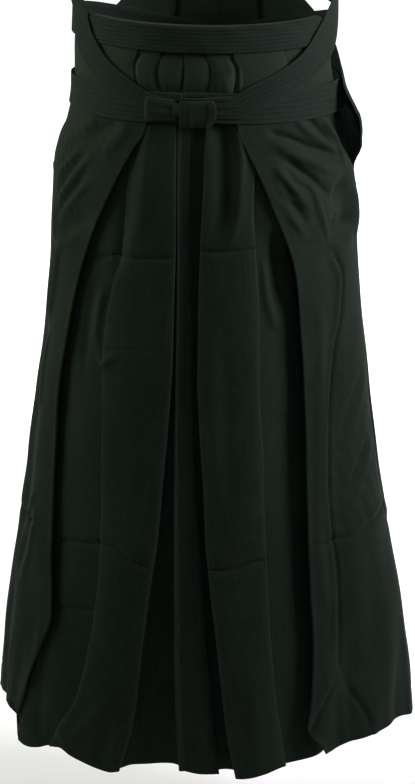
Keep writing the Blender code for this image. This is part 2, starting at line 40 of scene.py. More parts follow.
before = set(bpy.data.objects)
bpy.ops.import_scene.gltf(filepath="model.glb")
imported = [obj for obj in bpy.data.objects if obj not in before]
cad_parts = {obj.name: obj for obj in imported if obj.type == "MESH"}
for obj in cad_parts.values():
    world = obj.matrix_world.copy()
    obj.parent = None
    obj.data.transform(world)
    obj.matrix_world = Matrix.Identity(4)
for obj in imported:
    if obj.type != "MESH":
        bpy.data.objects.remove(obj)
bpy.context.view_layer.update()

# ---------------------------------------------------------------- driving sizes
CLOTH = 0.0008            # thickness of one layer of cloth
SOLID_CLOTH = 0.0010      # the panels' walls in the solids
STRAP = 0.0016            # the ties' walls in the solids
LAID = 0.0006             # gap between pieces that lie on each other
SEAM = 0.0003             # gap between sewn pieces
BAND_TOP = 0.0034
BAND_FOOT = -0.0260
BAND_WALL = 0.0012
BAND_LEFT, BAND_RIGHT = -0.665, 0.800     # ends of the front band, in quarter turns
BOARD = 0.0040            # thickness of the stiff back board
CROTCH = -0.500
HEM = -0.900
SLIT_FOOT = -0.187        # front and back are sewn together below this

FRONT_STEP = 0.0033       # spacing of the front panels' rows and columns
SIDE_STEP = 0.0028        # the same on the side panels
BACK_STEP = 0.0053        # the same on the back panels
HIDDEN_STEP = 0.009       # spacing of columns where cloth lies under cloth
TURN_STEP = 0.004         # spacing of columns where an edge is turned in
FINE_STEP = 0.0012        # spacing of rows where pressed lines cross the cloth
FINE_BANDS = ((-0.246, -0.272), (-0.368, -0.384), (-0.600, -0.650), (-0.708, -0.724))

# ---------------------------------------------------------------- the ring
Ring = namedtuple("Ring", "height half_width front_depth back_depth ply")
RINGS = (
    Ring(0.085, 0.150, 0.118, 0.106, 0.0014),
    Ring(0.000, 0.152, 0.121, 0.110, 0.0014),
    Ring(-0.050, 0.156, 0.125, 0.115, 0.0015),
    Ring(-0.100, 0.163, 0.130, 0.122, 0.0017),
    Ring(-0.150, 0.174, 0.138, 0.131, 0.0019),
    Ring(-0.200, 0.181, 0.144, 0.140, 0.0021),
    Ring(-0.300, 0.186, 0.147, 0.147, 0.0024),
    Ring(-0.400, 0.196, 0.153, 0.153, 0.0026),
    Ring(-0.500, 0.209, 0.161, 0.162, 0.0028),
    Ring(-0.600, 0.223, 0.171, 0.173, 0.0030),
    Ring(-0.700, 0.240, 0.184, 0.186, 0.0032),
    Ring(-0.800, 0.254, 0.194, 0.197, 0.0034),
    Ring(-0.910, 0.262, 0.200, 0.204, 0.0036),
)
ARC_STEPS = 48            # points a quarter of the ring is measured at

# long soft folds of the hanging cloth: where they lie at the hip and at the hem, in quarter turns, the height
# they start at, their depth (plus is a trough, minus a ridge) and their half width in quarter turns
Drape = namedtuple("Drape", "turns_hip turns_hem start depth half_width")
DRAPES = (
    Drape(0.740, 0.590, -0.20, 0.0090, 0.055),
    Drape(0.880, 0.800, -0.30, -0.0040, 0.060),
    Drape(1.160, 1.110, -0.30, 0.0070, 0.060),
    Drape(1.330, 1.290, -0.24, -0.0060, 0.070),
    Drape(1.500, 1.450, -0.20, 0.0100, 0.060),
    Drape(1.690, 1.630, -0.28, -0.0050, 0.070),
    Drape(-0.820, -0.840, -0.26, 0.0055, 0.050),
    Drape(-1.150, -1.130, -0.34, 0.0080, 0.060),
    Drape(-1.300, -1.280, -0.22, -0.0060, 0.070),
    Drape(-1.470, -1.430, -0.26, 0.0090, 0.060),
    Drape(-1.660, -1.600, -0.20, -0.0060, 0.075),
    Drape(0.990, 0.980, -0.64, -0.0080, 0.110),
    Drape(-0.990, -0.990, -0.38, -0.0032, 0.100),
)
DRAPE_ONSET = 0.7         # under 1, a soft fold deepens faster at its start than at the hem
# the left side is drawn in under the ties: (height, depth), fading over this many quarter turns
WAIST_PULL = ((0.000, 0.0), (-0.036, 0.0005), (-0.066, 0.0035), (-0.100, 0.0090), (-0.130, 0.0088),
              (-0.152, 0.0030), (-0.175, 0.0))
WAIST_PULL_TURNS = 0.24

# ---------------------------------------------------------------- folded edges
# each edge's distance round the ring from the front centre: (height, distance)
FOLDS = {
    "side_left": ((0.000, -0.060), (-0.026, -0.057), (-0.046, -0.063), (-0.070, -0.057), (-0.104, -0.045),
                  (-0.118, -0.047), (-0.138, -0.060), (-0.163, -0.075), (-0.201, -0.095), (-0.250, -0.120),
                  (-0.328, -0.149), (-0.381, -0.162), (-0.442, -0.176), (-0.505, -0.181), (-0.587, -0.182),
                  (-0.647, -0.180), (-0.731, -0.176), (-0.773, -0.192), (-0.842, -0.222), (-0.900, -0.248)),
    "front_left": ((0.000, -0.074), (-0.114, -0.064), (-0.171, -0.071), (-0.263, -0.079), (-0.310, -0.092),
                   (-0.403, -0.106), (-0.568, -0.105), (-0.663, -0.107), (-0.714, -0.112), (-0.752, -0.120),
                   (-0.806, -0.133), (-0.843, -0.149), (-0.878, -0.172), (-0.900, -0.188)),
    "inner_left": ((0.000, -0.030), (-0.026, -0.029), (-0.048, -0.034), (-0.075, -0.028), (-0.114, -0.010),
                   (-0.252, -0.009), (-0.321, -0.011), (-0.382, -0.012), (-0.452, -0.016), (-0.531, -0.022),
                   (-0.615, -0.029), (-0.664, -0.036), (-0.712, -0.042), (-0.762, -0.048), (-0.813, -0.053),
                   (-0.861, -0.063), (-0.900, -0.076)),
    "middle": ((0.000, -0.003), (-0.026, -0.002), (-0.048, -0.003), (-0.080, -0.0060), (-0.114, -0.0086),
               (-0.250, -0.0076), (-0.310, -0.0080), (-0.500, -0.009), (-0.697, -0.006), (-0.820, -0.002),
               (-0.900, 0.002)),
    "inner_right": ((0.000, 0.024), (-0.026, 0.024), (-0.046, 0.0285), (-0.075, 0.026), (-0.117, 0.025),
                    (-0.180, 0.024), (-0.246, 0.021), (-0.329, 0.019), (-0.410, 0.019), (-0.470, 0.022),
                    (-0.530, 0.027), (-0.611, 0.032), (-0.670, 0.039), (-0.718, 0.046), (-0.780, 0.054),
                    (-0.842, 0.062), (-0.900, 0.074)),
    "front_right": ((0.000, 0.068), (-0.114, 0.074), (-0.157, 0.084), (-0.194, 0.083), (-0.264, 0.087),
                    (-0.314, 0.091), (-0.432, 0.094), (-0.491, 0.099), (-0.573, 0.103), (-0.697, 0.112),
                    (-0.770, 0.119), (-0.821, 0.125), (-0.900, 0.138)),
    "side_right": ((0.000, 0.054), (-0.026, 0.054), (-0.046, 0.060), (-0.075, 0.058), (-0.116, 0.062),
                   (-0.136, 0.072), (-0.158, 0.084), (-0.185, 0.097), (-0.216, 0.110), (-0.246, 0.123),
                   (-0.273, 0.132), (-0.303, 0.138), (-0.364, 0.144), (-0.478, 0.152), (-0.600, 0.157),
                   (-0.679, 0.163), (-0.752, 0.168), (-0.810, 0.1675), (-0.835, 0.1655), (-0.852, 0.1625),
                   (-0.868, 0.166), (-0.882, 0.178), (-0.900, 0.188)),
    "back": ((0.000, 0.018), (-0.114, 0.024), (-0.200, 0.030), (-0.310, 0.038), (-0.500, 0.052),
             (-0.700, 0.068), (-0.800, 0.078), (-0.900, 0.088)),
}
# width of cloth folded under those edges: (height, width)
TUCKS = {
    "side": ((0.000, 0.028), (-0.200, 0.034), (-0.500, 0.040), (-0.900, 0.048)),
    "front": ((0.000, 0.014), (-0.200, 0.020), (-0.500, 0.028), (-0.900, 0.036)),
    "inner": ((0.000, 0.013), (-0.200, 0.020), (-0.500, 0.028), (-0.900, 0.040)),
    "middle": ((0.000, 0.012), (-0.200, 0.014), (-0.500, 0.022), (-0.900, 0.034)),
    "back": ((0.000, 0.030), (-0.200, 0.036), (-0.500, 0.046), (-0.900, 0.060)),
}
# the slanting edges of the side slits, and how far the back's edge stands out on each side
Slit = namedtuple("Slit", "height front_left front_right under back_left back_right lift_left lift_right")
SLITS = (
    Slit(0.000, 0.106, 0.106, 0.196, 0.312, 0.312, 0.0, 0.0),
    Slit(-0.030, 0.118, 0.114, 0.198, 0.282, 0.275, 0.0010, 0.0020),
    Slit(-0.060, 0.150, 0.134, 0.203, 0.248, 0.236, 0.0010, 0.0030),
    Slit(-0.083, 0.182, 0.152, 0.210, 0.232, 0.203, 0.0010, 0.0130),
    Slit(-0.103, 0.205, 0.169, 0.220, 0.230, 0.199, 0.0010, 0.0260),
    Slit(-0.115, 0.213, 0.180, 0.224, 0.232, 0.201, 0.0010, 0.0310),
    Slit(-0.126, 0.219, 0.189, 0.228, 0.235, 0.204, 0.0010, 0.0300),
    Slit(-0.140, 0.226, 0.203, 0.233, 0.240, 0.213, 0.0010, 0.0240),
    Slit(-0.157, 0.235, 0.220, 0.240, 0.246, 0.229, 0.0010, 0.0160),
    Slit(-0.172, 0.243, 0.235, 0.246, 0.250, 0.243, 0.0005, 0.0075),
    Slit(-0.187, 0.252, 0.252, 0.252, 0.254, 0.254, 0.0, 0.0),
)
FLARE_REACH = 0.028       # how far back from its edge the back still stands out
UNDER_LAP = 0.014         # how far the front's turned side edge reaches in under it

# height of the hem: (distance round the ring, height)
HEMS = {
    "front_left_side_panel": ((-0.420, -0.894), (-0.330, -0.888), (-0.262, -0.885), (-0.246, -0.887)),
    "front_left_centre_panel": ((-0.330, -0.880), (-0.2640, -0.882), (-0.2600, -0.928), (-0.248, -0.929),
                                (-0.238, -0.928), (-0.214, -0.921), (-0.196, -0.9125), (-0.175, -0.9045),
                                (-0.162, -0.901), (-0.145, -0.9055), (-0.127, -0.909), (-0.105, -0.913),
                                (-0.089, -0.9145), (-0.078, -0.912), (-0.068, -0.9095), (-0.051, -0.908),
                                (-0.026, -0.904), (0.000, -0.901), (0.040, -0.901)),
    "front_right_centre_panel": ((-0.010, -0.896), (0.005, -0.902), (0.036, -0.907), (0.060, -0.907),
                                 (0.072, -0.908), (0.091, -0.906), (0.109, -0.902), (0.134, -0.896),
                                 (0.153, -0.896), (0.186, -0.896), (0.202, -0.896), (0.215, -0.880),
                                 (0.226, -0.870), (0.300, -0.868)),
    "front_right_side_panel": ((0.153, -0.886), (0.172, -0.887), (0.186, -0.885), (0.214, -0.883),
                               (0.230, -0.879), (0.264, -0.877), (0.309, -0.876), (0.347, -0.884),
                               (0.420, -0.885)),
    "back_left_panel": ((-0.750, -0.893), (-0.700, -0.893), (-0.520, -0.889), (-0.420, -0.894),
                        (-0.330, -0.888)),
    "back_right_panel": ((0.347, -0.884), (0.420, -0.885), (0.520, -0.885), (0.700, -0.893),
                         (0.750, -0.893)),
}
HEM_REACH = 0.22          # height over which the hem's waves fade out upwards
HEM_FOLD = 0.030          # depth of the turned-up hem
HEM_LINE, HEM_LINE_REACH = 0.00045, 0.0030        # depth and half width of its stitched line
PUCKER, PUCKER_REACH = 0.00022, 0.012             # depth and reach of the puckers along that line
PUCKER_PITCH, PUCKER_DRIFT = 0.017, 0.071         # their pitch, and the distance over which it drifts

# plies: how deep each layer lies, in ply pitches
TOP_PLY, SIDE_TUCK, FRONT_PLY, FRONT_TUCK, SUNK_PLY, DEEP_PLY, DEEPEST_PLY = 0, 1, 2, 3, 4, 5, 6
UNDER_PLY = 1.5           # the front's turned side edge
TURNED_IN_PLY = 0.55      # the turned-in edge of a slit or side seam
COVERED_PLY = 1.4         # the sunk cloth's edge under a side panel
BACK_LAP_PLY = 0.4        # how much deeper the right back panel lies at the centre
LEG_GAP_AT_HEM = 0.016    # the gap between the two legs' inner edges
# how far the fine columns reach in under the edge that covers them, and how far short of a pleat they stop
UNDER_SIDE, UNDER_MIDDLE, UNDER_PLEAT, SHORT_OF_PLEAT = 0.014, 0.004, 0.002, 0.001
COVER_START, COVER_FADE = 0.003, 0.010    # where hidden cloth begins to follow the creases above it

# slight waves all over the hanging cloth: their pitches round the ring and down the cloth
ACROSS_PITCH, ACROSS_DRIFT = 0.083, 0.47
SLANT_PITCH, SLANT_DROP = 0.131, 0.210
LEVEL_PITCH, LEVEL_DROP = 0.310, 0.093
WAVE_DEPTH = 0.0003       # near the waist
WAVE_GAIN = 0.0014        # added towards the hem
WEAR_AND_HIGHLIGHT_REACH = 0.0035       # how far from a folded edge the cloth is painted lighter, as rubbed wear and a painted highlight
EDGE_RADIUS = 0.0007      # radius of a folded edge at the waist
EDGE_GAIN = 0.0016        # added towards the hem
SEAM_TURN = 0.002         # width of cloth turned in along the side seam
SLIT_GAIN = 0.006         # added along the slit

# ---------------------------------------------------------------- creases
# A crease follows a short route of (distance round the ring, height). Its depth is inwards (minus is a
# ridge), and its width is from its middle to where it has mostly gone. These are in millimetres. A pressed
# crease has a sharp line, others are round. ends gives the shares of its length in which it fades in and out.
Crease = namedtuple("Crease", "depth width pressed ends route")
SOFT, PRESSED = False, True
BOTH, TO_EDGE = (0.3, 0.3), (0.5, 0.02)
CREASES = {
    "front_right_side_panel": (
        # cloth dragged down and out from the knot
        Crease(5.8, 4.6, SOFT, (0.15, 0.35), ((95, -115), (107, -122), (125, -128), (153, -141), (180, -150),
                (201, -160))),
        Crease(-4.2, 4.6, SOFT, (0.15, 0.3), ((128, -104), (156, -127), (185, -145), (206, -157))),
        Crease(5.8, 4.8, SOFT, (0.1, 0.3), ((150, -108), (172, -127), (190, -143))),
        Crease(-3.8, 4, SOFT, (0.1, 0.4), ((172, -110), (193, -131), (208, -158), (226, -184))),
        Crease(-4.6, 6.6, SOFT, (0.2, 0.4), ((97, -126), (136, -147), (168, -163), (205, -180))),
        Crease(5.6, 5, SOFT, (0.4, 0.2), ((100, -140), (126, -155), (143, -167), (160, -179), (176, -194),
                (190, -208))),
        Crease(-4.2, 4.4, SOFT, (0.2, 0.3), ((104, -154), (126, -180), (146, -202), (157, -217))),
        Crease(3.4, 5, SOFT, (0.5, 0.5), ((114, -180), (138, -212), (156, -236))),
        Crease(-3, 4, SOFT, (0.5, 0.5), ((116, -198), (136, -228), (154, -250))),
        # the hollow under the foot of the slit, with a sharp lower end
        Crease(12, 19, SOFT, BOTH, ((192, -186), (208, -204), (228, -220), (250, -230))),
        Crease(12, 12, SOFT, (0.25, 0.35), ((184, -232), (204, -241), (226, -244), (256, -245))),
        Crease(-4, 7, SOFT, BOTH, ((178, -256), (206, -262), (244, -264))),
        Crease(-3.2, 4, SOFT, BOTH, ((146, -172), (158, -193), (168, -214), (177, -238), (188, -264))),
        Crease(-4, 11, SOFT, BOTH, ((214, -160), (238, -196), (256, -234), (268, -280))),
        # the long line down the side, forking at the hem
        Crease(4, 3, SOFT, (0.06, 0.02), ((186, -260), (201, -282), (210, -300), (208, -341), (196, -391),
                (192, -421), (188, -470), (186, -514), (188, -558), (195, -609), (205, -663), (207.5, -760),
                (206.5, -782))),
        Crease(-2.2, 4.4, SOFT, (0.06, 0.02), ((178, -262), (193, -284), (202, -302), (200, -341),
                (188, -391), (184, -421), (180, -470), (178, -514), (180, -558), (187, -609), (197, -663),
                (199, -760))),
        Crease(-2, 7, SOFT, (0.06, 0.05), ((170, -330), (172, -420), (170, -520), (174, -620), (184, -700))),
        Crease(3.6, 3.4, SOFT, TO_EDGE, ((206.5, -776), (191, -806), (173, -838), (165, -855))),
        Crease(3.6, 3.4, SOFT, TO_EDGE, ((209, -772), (223, -808), (242, -838), (254, -866))),
        Crease(-3.4, 7.5, SOFT, TO_EDGE, ((209, -790), (214, -830), (219, -880))),
        Crease(-2.6, 5, SOFT, TO_EDGE, ((172, -858), (180, -872), (186, -890))),
        Crease(3.4, 6, SOFT, BOTH, ((251, -420), (226, -455), (201, -500))),
        Crease(-1.6, 6, SOFT, BOTH, ((264, -425), (240, -458), (216, -502))),
        Crease(3, 5.5, SOFT, BOTH, ((257, -505), (233, -539), (212, -575))),
        Crease(-1.5, 6, SOFT, BOTH, ((272, -508), (247, -545), (226, -582))),
        Crease(3.2, 2.6, PRESSED, (0.1, 0.1), ((324, -608), (252, -612), (219, -620), (192, -620),
                (178, -619), (160, -627))),
        Crease(-1, 5, SOFT, (0.1, 0.1), ((324, -599), (252, -603), (219, -611), (192, -611), (178, -610),
                (160, -618))),
        Crease(1.3, 2.6, PRESSED, BOTH, ((124, -249), (151, -253), (176, -257))),
        Crease(-1.4, 8, SOFT, BOTH, ((178, -812), (205, -802), (237, -813))),
        Crease(-2, 8, SOFT, TO_EDGE, ((259, -815), (262, -848), (258, -878))),
        Crease(2.6, 12, SOFT, BOTH, ((290, -300), (296, -400), (300, -520), (312, -640))),
        Crease(1.8, 10, SOFT, TO_EDGE, ((300, -780), (306, -840), (302, -890))),
        Crease(-1.8, 8, SOFT, TO_EDGE, ((330, -700), (335, -800), (340, -890))),
    ),
    "front_left_side_panel": (
        Crease(-2.8, 4.2, SOFT, BOTH, ((-128, -142), (-165, -173), (-200, -205))),
        Crease(2.6, 4.2, SOFT, BOTH, ((-124, -150), (-158, -181), (-196, -219))),
        Crease(-3, 4.5, SOFT, BOTH, ((-112, -148), (-152, -188), (-196, -232))),
        Crease(2.6, 4.2, SOFT, BOTH, ((-118, -168), (-156, -206), (-198, -246))),
        Crease(-2.6, 4.5, SOFT, BOTH, ((-112, -176), (-148, -212), (-188, -250))),
        Crease(-2.4, 7, SOFT, (0.1, 0.4), ((-110, -112), (-144, -130), (-190, -165))),
        Crease(2.4, 8, SOFT, (0.1, 0.4), ((-82, -112), (-110, -130), (-145, -152))),
        Crease(-2.2, 7, SOFT, (0.1, 0.5), ((-66, -112), (-86, -135), (-110, -160))),
        Crease(3.6, 12, SOFT, BOTH, ((-112, -214), (-148, -243), (-188, -262))),
        Crease(-2.2, 8, SOFT, BOTH, ((-125, -238), (-158, -262), (-200, -284))),
        Crease(-4.2, 6, SOFT, BOTH, ((-176, -262), (-190, -296), (-200, -333), (-221, -392))),
        Crease(4, 6, SOFT, BOTH, ((-190, -258), (-206, -296), (-218, -333), (-240, -385))),
        Crease(-3.4, 6, SOFT, BOTH, ((-208, -380), (-222, -430), (-226, -500))),
        Crease(3, 2.6, PRESSED, (0.1, 0.1), ((-310, -636), (-236, -632), (-204, -628), (-178, -634))),
        Crease(-2.8, 6, SOFT, BOTH, ((-218, -585), (-238, -614), (-262, -642))),
        Crease(-2.4, 6, SOFT, BOTH, ((-204, -225), (-200, -262), (-190, -300))),
        Crease(-2.6, 7, SOFT, BOTH, ((-214, -600), (-226, -655), (-250, -720))),
        Crease(2.2, 8, SOFT, BOTH, ((-232, -600), (-246, -660), (-268, -715))),
        Crease(-2.2, 6, SOFT, BOTH, ((-262, -640), (-272, -690), (-276, -750))),
        Crease(-2.4, 7, SOFT, BOTH, ((-190, -730), (-203, -784), (-232, -857))),
        Crease(3, 11, SOFT, TO_EDGE, ((-226, -770), (-244, -830), (-262, -884))),
        Crease(-2, 8, SOFT, TO_EDGE, ((-262, -780), (-282, -840), (-292, -888))),
        Crease(2, 11, SOFT, BOTH, ((-290, -320), (-300, -440), (-296, -580))),
        Crease(-2, 10, SOFT, BOTH, ((-262, -420), (-270, -500), (-282, -600))),
        Crease(2.2, 9, SOFT, TO_EDGE, ((-318, -720), (-330, -800), (-336, -890))),
    ),
    "front_left_centre_panel": (
        # beside the side panel's edge, between the band and the ties
        Crease(3.6, 2.4, SOFT, (0.05, 0.05), ((-54.5, -30), (-60.5, -46), (-57.5, -62), (-53, -78))),
        Crease(2.2, 3, SOFT, BOTH, ((-127, -278), (-108, -274), (-91, -271))),
        Crease(3, 2.4, PRESSED, (0.05, 0.1), ((-95, -270), (-70, -269), (-38, -266), (-8, -263))),
        Crease(1.1, 2.4, PRESSED, (0.05, 0.2), ((-100, -383), (-50, -378), (-14, -373))),
        Crease(3.8, 2.8, PRESSED, (0.05, 0.1), ((-113, -625), (-100, -625), (-83, -626), (-64, -636),
                (-36, -643))),
        Crease(-1.2, 7, SOFT, (0.05, 0.1), ((-106, -612), (-84, -610), (-66, -619), (-34, -626))),
        Crease(3, 2.6, PRESSED, (0.1, 0.1), ((-182, -640), (-146, -634), (-108, -628))),
        Crease(2.8, 2.6, PRESSED, (0.1, 0.1), ((-182, -722), (-144, -716), (-112, -711))),
        Crease(-3.6, 6, SOFT, BOTH, ((-100, -296), (-113, -337), (-119, -375), (-112, -404))),
        Crease(3.4, 7, SOFT, BOTH, ((-116, -290), (-132, -340), (-140, -390), (-140, -440))),
        Crease(-3.6, 4.5, SOFT, BOTH, ((-118, -390), (-108, -404), (-94, -396), (-82, -385))),
        Crease(4.8, 9.5, SOFT, (0.05, 0.3), ((-62, -108), (-69, -171), (-73, -220), (-80, -270),
                (-92, -310))),
        Crease(-2.6, 8, SOFT, (0.05, 0.3), ((-42, -108), (-46, -180), (-54, -250))),
        Crease(1.4, 10, SOFT, BOTH, ((-34, -420), (-44, -520), (-60, -620))),
        Crease(-3, 8, SOFT, TO_EDGE, ((-78, -800), (-98, -834), (-127, -865), (-158, -896))),
        Crease(3.2, 10, SOFT, TO_EDGE, ((-74, -830), (-88, -860), (-104, -905))),
        Crease(-1.8, 7, SOFT, TO_EDGE, ((-112, -760), (-135, -827), (-166, -884))),
        Crease(2.2, 10, SOFT, TO_EDGE, ((-190, -800), (-206, -850), (-214, -905))),
        Crease(-1.4, 10, SOFT, TO_EDGE, ((-12, -700), (-18, -800), (-20, -890))),
    ),
    "front_right_centre_panel": (
        # beside the side panel's edge, between the band and the ties
        Crease(4, 2.6, SOFT, (0.05, 0.05), ((52, -30), (58, -46), (57.5, -62), (56, -78))),
        # a puff above the ties
        Crease(-3, 6, SOFT, BOTH, ((44, -50), (47, -62), (46, -74))),
        Crease(2.6, 4, SOFT, BOTH, ((34, -46), (36, -60), (38, -72))),
        Crease(2.6, 2.4, PRESSED, (0.05, 0.1), ((18, -253.5), (38, -254), (64, -253), (88, -251))),
        Crease(3.4, 2.6, PRESSED, (0.05, 0.1), ((30, -641), (50, -641), (65, -639), (85, -633), (108, -630))),
        Crease(-1.1, 7, SOFT, (0.05, 0.1), ((30, -618), (50, -617), (67, -611), (85, -608), (108, -606))),
        # the wedge fold below the knot
        Crease(7.2, 10, SOFT, (0.02, 0.4), ((40, -98), (47, -150), (48, -196), (40, -232), (30, -252))),
        Crease(-3.6, 5.6, SOFT, (0.05, 0.4), ((61, -108), (66.5, -155), (66, -198), (57, -236), (45, -260))),
        Crease(-2.6, 4.5, SOFT, BOTH, ((84, -172), (89, -181), (98, -197))),
        Crease(6, 10, SOFT, BOTH, ((113, -222), (113, -262), (118, -302), (130, -340))),
        Crease(-4.4, 5.6, SOFT, BOTH, ((98, -250), (101, -300), (110, -338), (126, -362))),
        Crease(1.2, 9, SOFT, BOTH, ((50, -330), (52, -450), (62, -580))),
        Crease(-1.2, 10, SOFT, TO_EDGE, ((86, -700), (94, -800), (104, -890))),
        Crease(1.6, 12, SOFT, TO_EDGE, ((70, -760), (80, -830), (90, -900))),
        Crease(2.2, 13, SOFT, BOTH, ((140, -420), (138, -540), (142, -660))),
        Crease(-1.8, 8, SOFT, TO_EDGE, ((20, -760), (30, -830), (40, -892))),
    ),
    "back_left_panel": (
        Crease(3.6, 10, SOFT, (0.1, 0.4), ((-350, -20), (-372, -80), (-380, -160))),
        Crease(-2.8, 8, SOFT, (0.1, 0.4), ((-325, -30), (-345, -100), (-350, -180))),
        Crease(4, 8.5, SOFT, BOTH, ((-226, -140), (-262, -178), (-300, -205))),
        Crease(-3.4, 8, SOFT, BOTH, ((-224, -160), (-258, -200), (-298, -232))),
        Crease(2.6, 7, SOFT, BOTH, ((-270, -215), (-300, -250), (-330, -270))),
        Crease(-2.2, 6, SOFT, BOTH, ((-320, -230), (-345, -280), (-352, -340))),
        Crease(2.2, 7, SOFT, BOTH, ((-400, -330), (-428, -400), (-430, -480))),
        Crease(-2, 6, SOFT, BOTH, ((-380, -440), (-400, -510), (-404, -590))),
        Crease(1.3, 3, PRESSED, (0.1, 0.1), ((-310, -648), (-360, -640), (-420, -636), (-470, -642),
                (-520, -638))),
        Crease(-1.1, 7, SOFT, (0.1, 0.1), ((-310, -637), (-360, -629), (-420, -625), (-470, -631),
                (-520, -627))),
        Crease(1.1, 2.8, PRESSED, (0.1, 0.1), ((-340, -268), (-400, -262), (-452, -266))),
        Crease(2.4, 10, SOFT, TO_EDGE, ((-560, -740), (-572, -820), (-580, -890))),
        Crease(-2.4, 9, SOFT, TO_EDGE, ((-500, -700), (-520, -790), (-528, -888))),
        Crease(2.2, 9, SOFT, TO_EDGE, ((-410, -730), (-426, -810), (-436, -888))),
    ),
    "back_right_panel": (
        Crease(3.4, 10, SOFT, (0.1, 0.4), ((355, -18), (368, -70), (376, -150))),
        Crease(-3, 8, SOFT, (0.1, 0.4), ((318, -40), (340, -110), (352, -190))),
        Crease(3.6, 8, SOFT, BOTH, ((228, -150), (264, -186), (306, -222))),
        Crease(-3.6, 8, SOFT, BOTH, ((226, -130), (262, -162), (300, -188))),
        Crease(-2.4, 6.5, SOFT, BOTH, ((280, -226), (310, -262), (338, -300))),
        Crease(2.4, 7, SOFT, BOTH, ((330, -250), (350, -310), (356, -380))),
        Crease(-2.2, 6, SOFT, BOTH, ((392, -300), (412, -380), (416, -460))),
        Crease(2.2, 6.5, SOFT, BOTH, ((372, -470), (392, -540), (396, -610))),
        Crease(1.3, 3, PRESSED, (0.1, 0.1), ((312, -632), (370, -636), (430, -630), (480, -634),
                (525, -629))),
        Crease(-1.2, 7, SOFT, (0.1, 0.1), ((312, -621), (370, -625), (430, -619), (480, -623), (525, -618))),
        Crease(1, 2.8, PRESSED, (0.1, 0.1), ((350, -256), (410, -260), (455, -255))),
        Crease(2.6, 10, SOFT, TO_EDGE, ((548, -720), (560, -810), (572, -890))),
        Crease(-2.2, 9, SOFT, TO_EDGE, ((486, -710), (500, -800), (512, -888))),
        Crease(-2, 8, SOFT, TO_EDGE, ((400, -760), (412, -830), (420, -888))),
    ),
}
# cloth that lies hidden under a side panel follows its creases: the panel over it, and the fold it starts at
COVERED = {
    "front_left_centre_panel": ("front_left_side_panel", "side_left"),
    "front_right_centre_panel": ("front_right_side_panel", "side_right"),
    "side_turning_left": ("front_left_side_panel", "side_left"),
    "side_turning_right": ("front_right_side_panel", "side_right"),
}
# fine ripples side by side: their middle and reach as (distance, height), the slant of the direction they
# follow one another in, their pitch and depth
Ripples = namedtuple("Ripples", "middle reach slant pitch depth")
RIPPLES = {
    "front_left_side_panel": (
        Ripples((-0.168, -0.162), (0.034, 0.020), 0.35, 0.0115, 0.0007),
        Ripples((-0.172, -0.218), (0.036, 0.018), 0.20, 0.0125, 0.0005),
        Ripples((-0.118, -0.136), (0.030, 0.016), 0.60, 0.0140, 0.0008),
    ),
    "front_right_side_panel": (
        Ripples((0.140, -0.185), (0.030, 0.024), 0.80, 0.0120, 0.0009),
        Ripples((0.236, -0.560), (0.050, 0.060), 0.70, 0.0190, 0.0005),
    ),
    "back_left_panel": (
        Ripples((-0.290, -0.210), (0.040, 0.024), 0.40, 0.0130, 0.0011),
        Ripples((-0.470, -0.090), (0.060, 0.030), 0.15, 0.0150, 0.0009),
    ),
    "back_right_panel": (
        Ripples((0.300, -0.200), (0.040, 0.024), -0.40, 0.0130, 0.0011),
        Ripples((0.460, -0.080), (0.060, 0.030), -0.15, 0.0150, 0.0009),
    ),
}
MILLIMETRES = 1000        # in a metre
CREASE_STEP = 0.006       # spacing of the points a crease's route is measured at
CREASE_REACH = 3.0        # a crease is felt this many widths away

# ---------------------------------------------------------------- ties and band
# a strap's middle line: quarter turns from the front centre, height, width and how far out of the ring
Route = namedtuple("Route", "turns height width outwards")
ON_CLOTH = SOLID_CLOTH / 2 + LAID + STRAP / 2
ON_BAND = ON_CLOTH + STRAP + LAID
ON_BOARD = SOLID_CLOTH / 2 + LAID + BOARD + LAID + STRAP / 2
BACK_TIE_RIGHT = (
    Route(-0.030, -0.0860, 0.0190, ON_BAND + 0.0022),
    Route(0.060, -0.0860, 0.0210, ON_BAND + 0.0022),
    Route(0.140, -0.0865, 0.0235, ON_BAND),
    Route(0.241, -0.0865, 0.0260, ON_BAND),
    Route(0.366, -0.0750, 0.0285, ON_BAND),
    Route(0.549, -0.0590, 0.0310, ON_BAND),
    Route(0.660, -0.0475, 0.0335, ON_BAND),
    Route(0.740, -0.0360, 0.0370, ON_BAND),
    Route(0.800, -0.0260, 0.0410, ON_BAND),
    Route(0.860, -0.0160, 0.0430, ON_BAND),
    Route(0.930, -0.0020, 0.0410, ON_BAND),
    Route(1.020, 0.0110, 0.0370, ON_BAND),
    Route(1.213, 0.0180, 0.0320, ON_BAND),
    Route(1.333, 0.0195, 0.0300, ON_BAND + 0.0010),
    Route(1.420, 0.0200, 0.0300, ON_BOARD),
    Route(1.483, 0.0200, 0.0300, ON_BOARD),
)
BACK_TIE_LEFT = (
    Route(-0.060, -0.0850, 0.0180, ON_BAND),
    Route(0.013, -0.0850, 0.0185, ON_BAND),
    Route(0.130, -0.0850, 0.0190, ON_BAND),
    Route(0.200, -0.0820, 0.0205, ON_BAND),
    Route(0.260, -0.0765, 0.0230, ON_BAND),
    Route(0.356, -0.0670, 0.0260, ON_BAND),
    Route(0.486, -0.0510, 0.0295, ON_BAND),
    Route(0.560, -0.0390, 0.0330, ON_BAND),
    Route(0.625, -0.0265, 0.0355, ON_BAND),
    Route(0.665, -0.0130, 0.0365, ON_BAND),
    Route(0.705, 0.0060, 0.0350, ON_BAND),
    Route(0.760, 0.0190, 0.0330, ON_BAND),
    Route(0.850, 0.0260, 0.0320, ON_BAND),
    Route(1.000, 0.0280, 0.0310, ON_BAND),
    Route(1.213, 0.0260, 0.0310, ON_BAND),
    Route(1.333, 0.0230, 0.0300, ON_BAND + 0.0010),
    Route(1.420, 0.0200, 0.0300, ON_BOARD),
    Route(1.483, 0.0200, 0.0300, ON_BOARD),
)
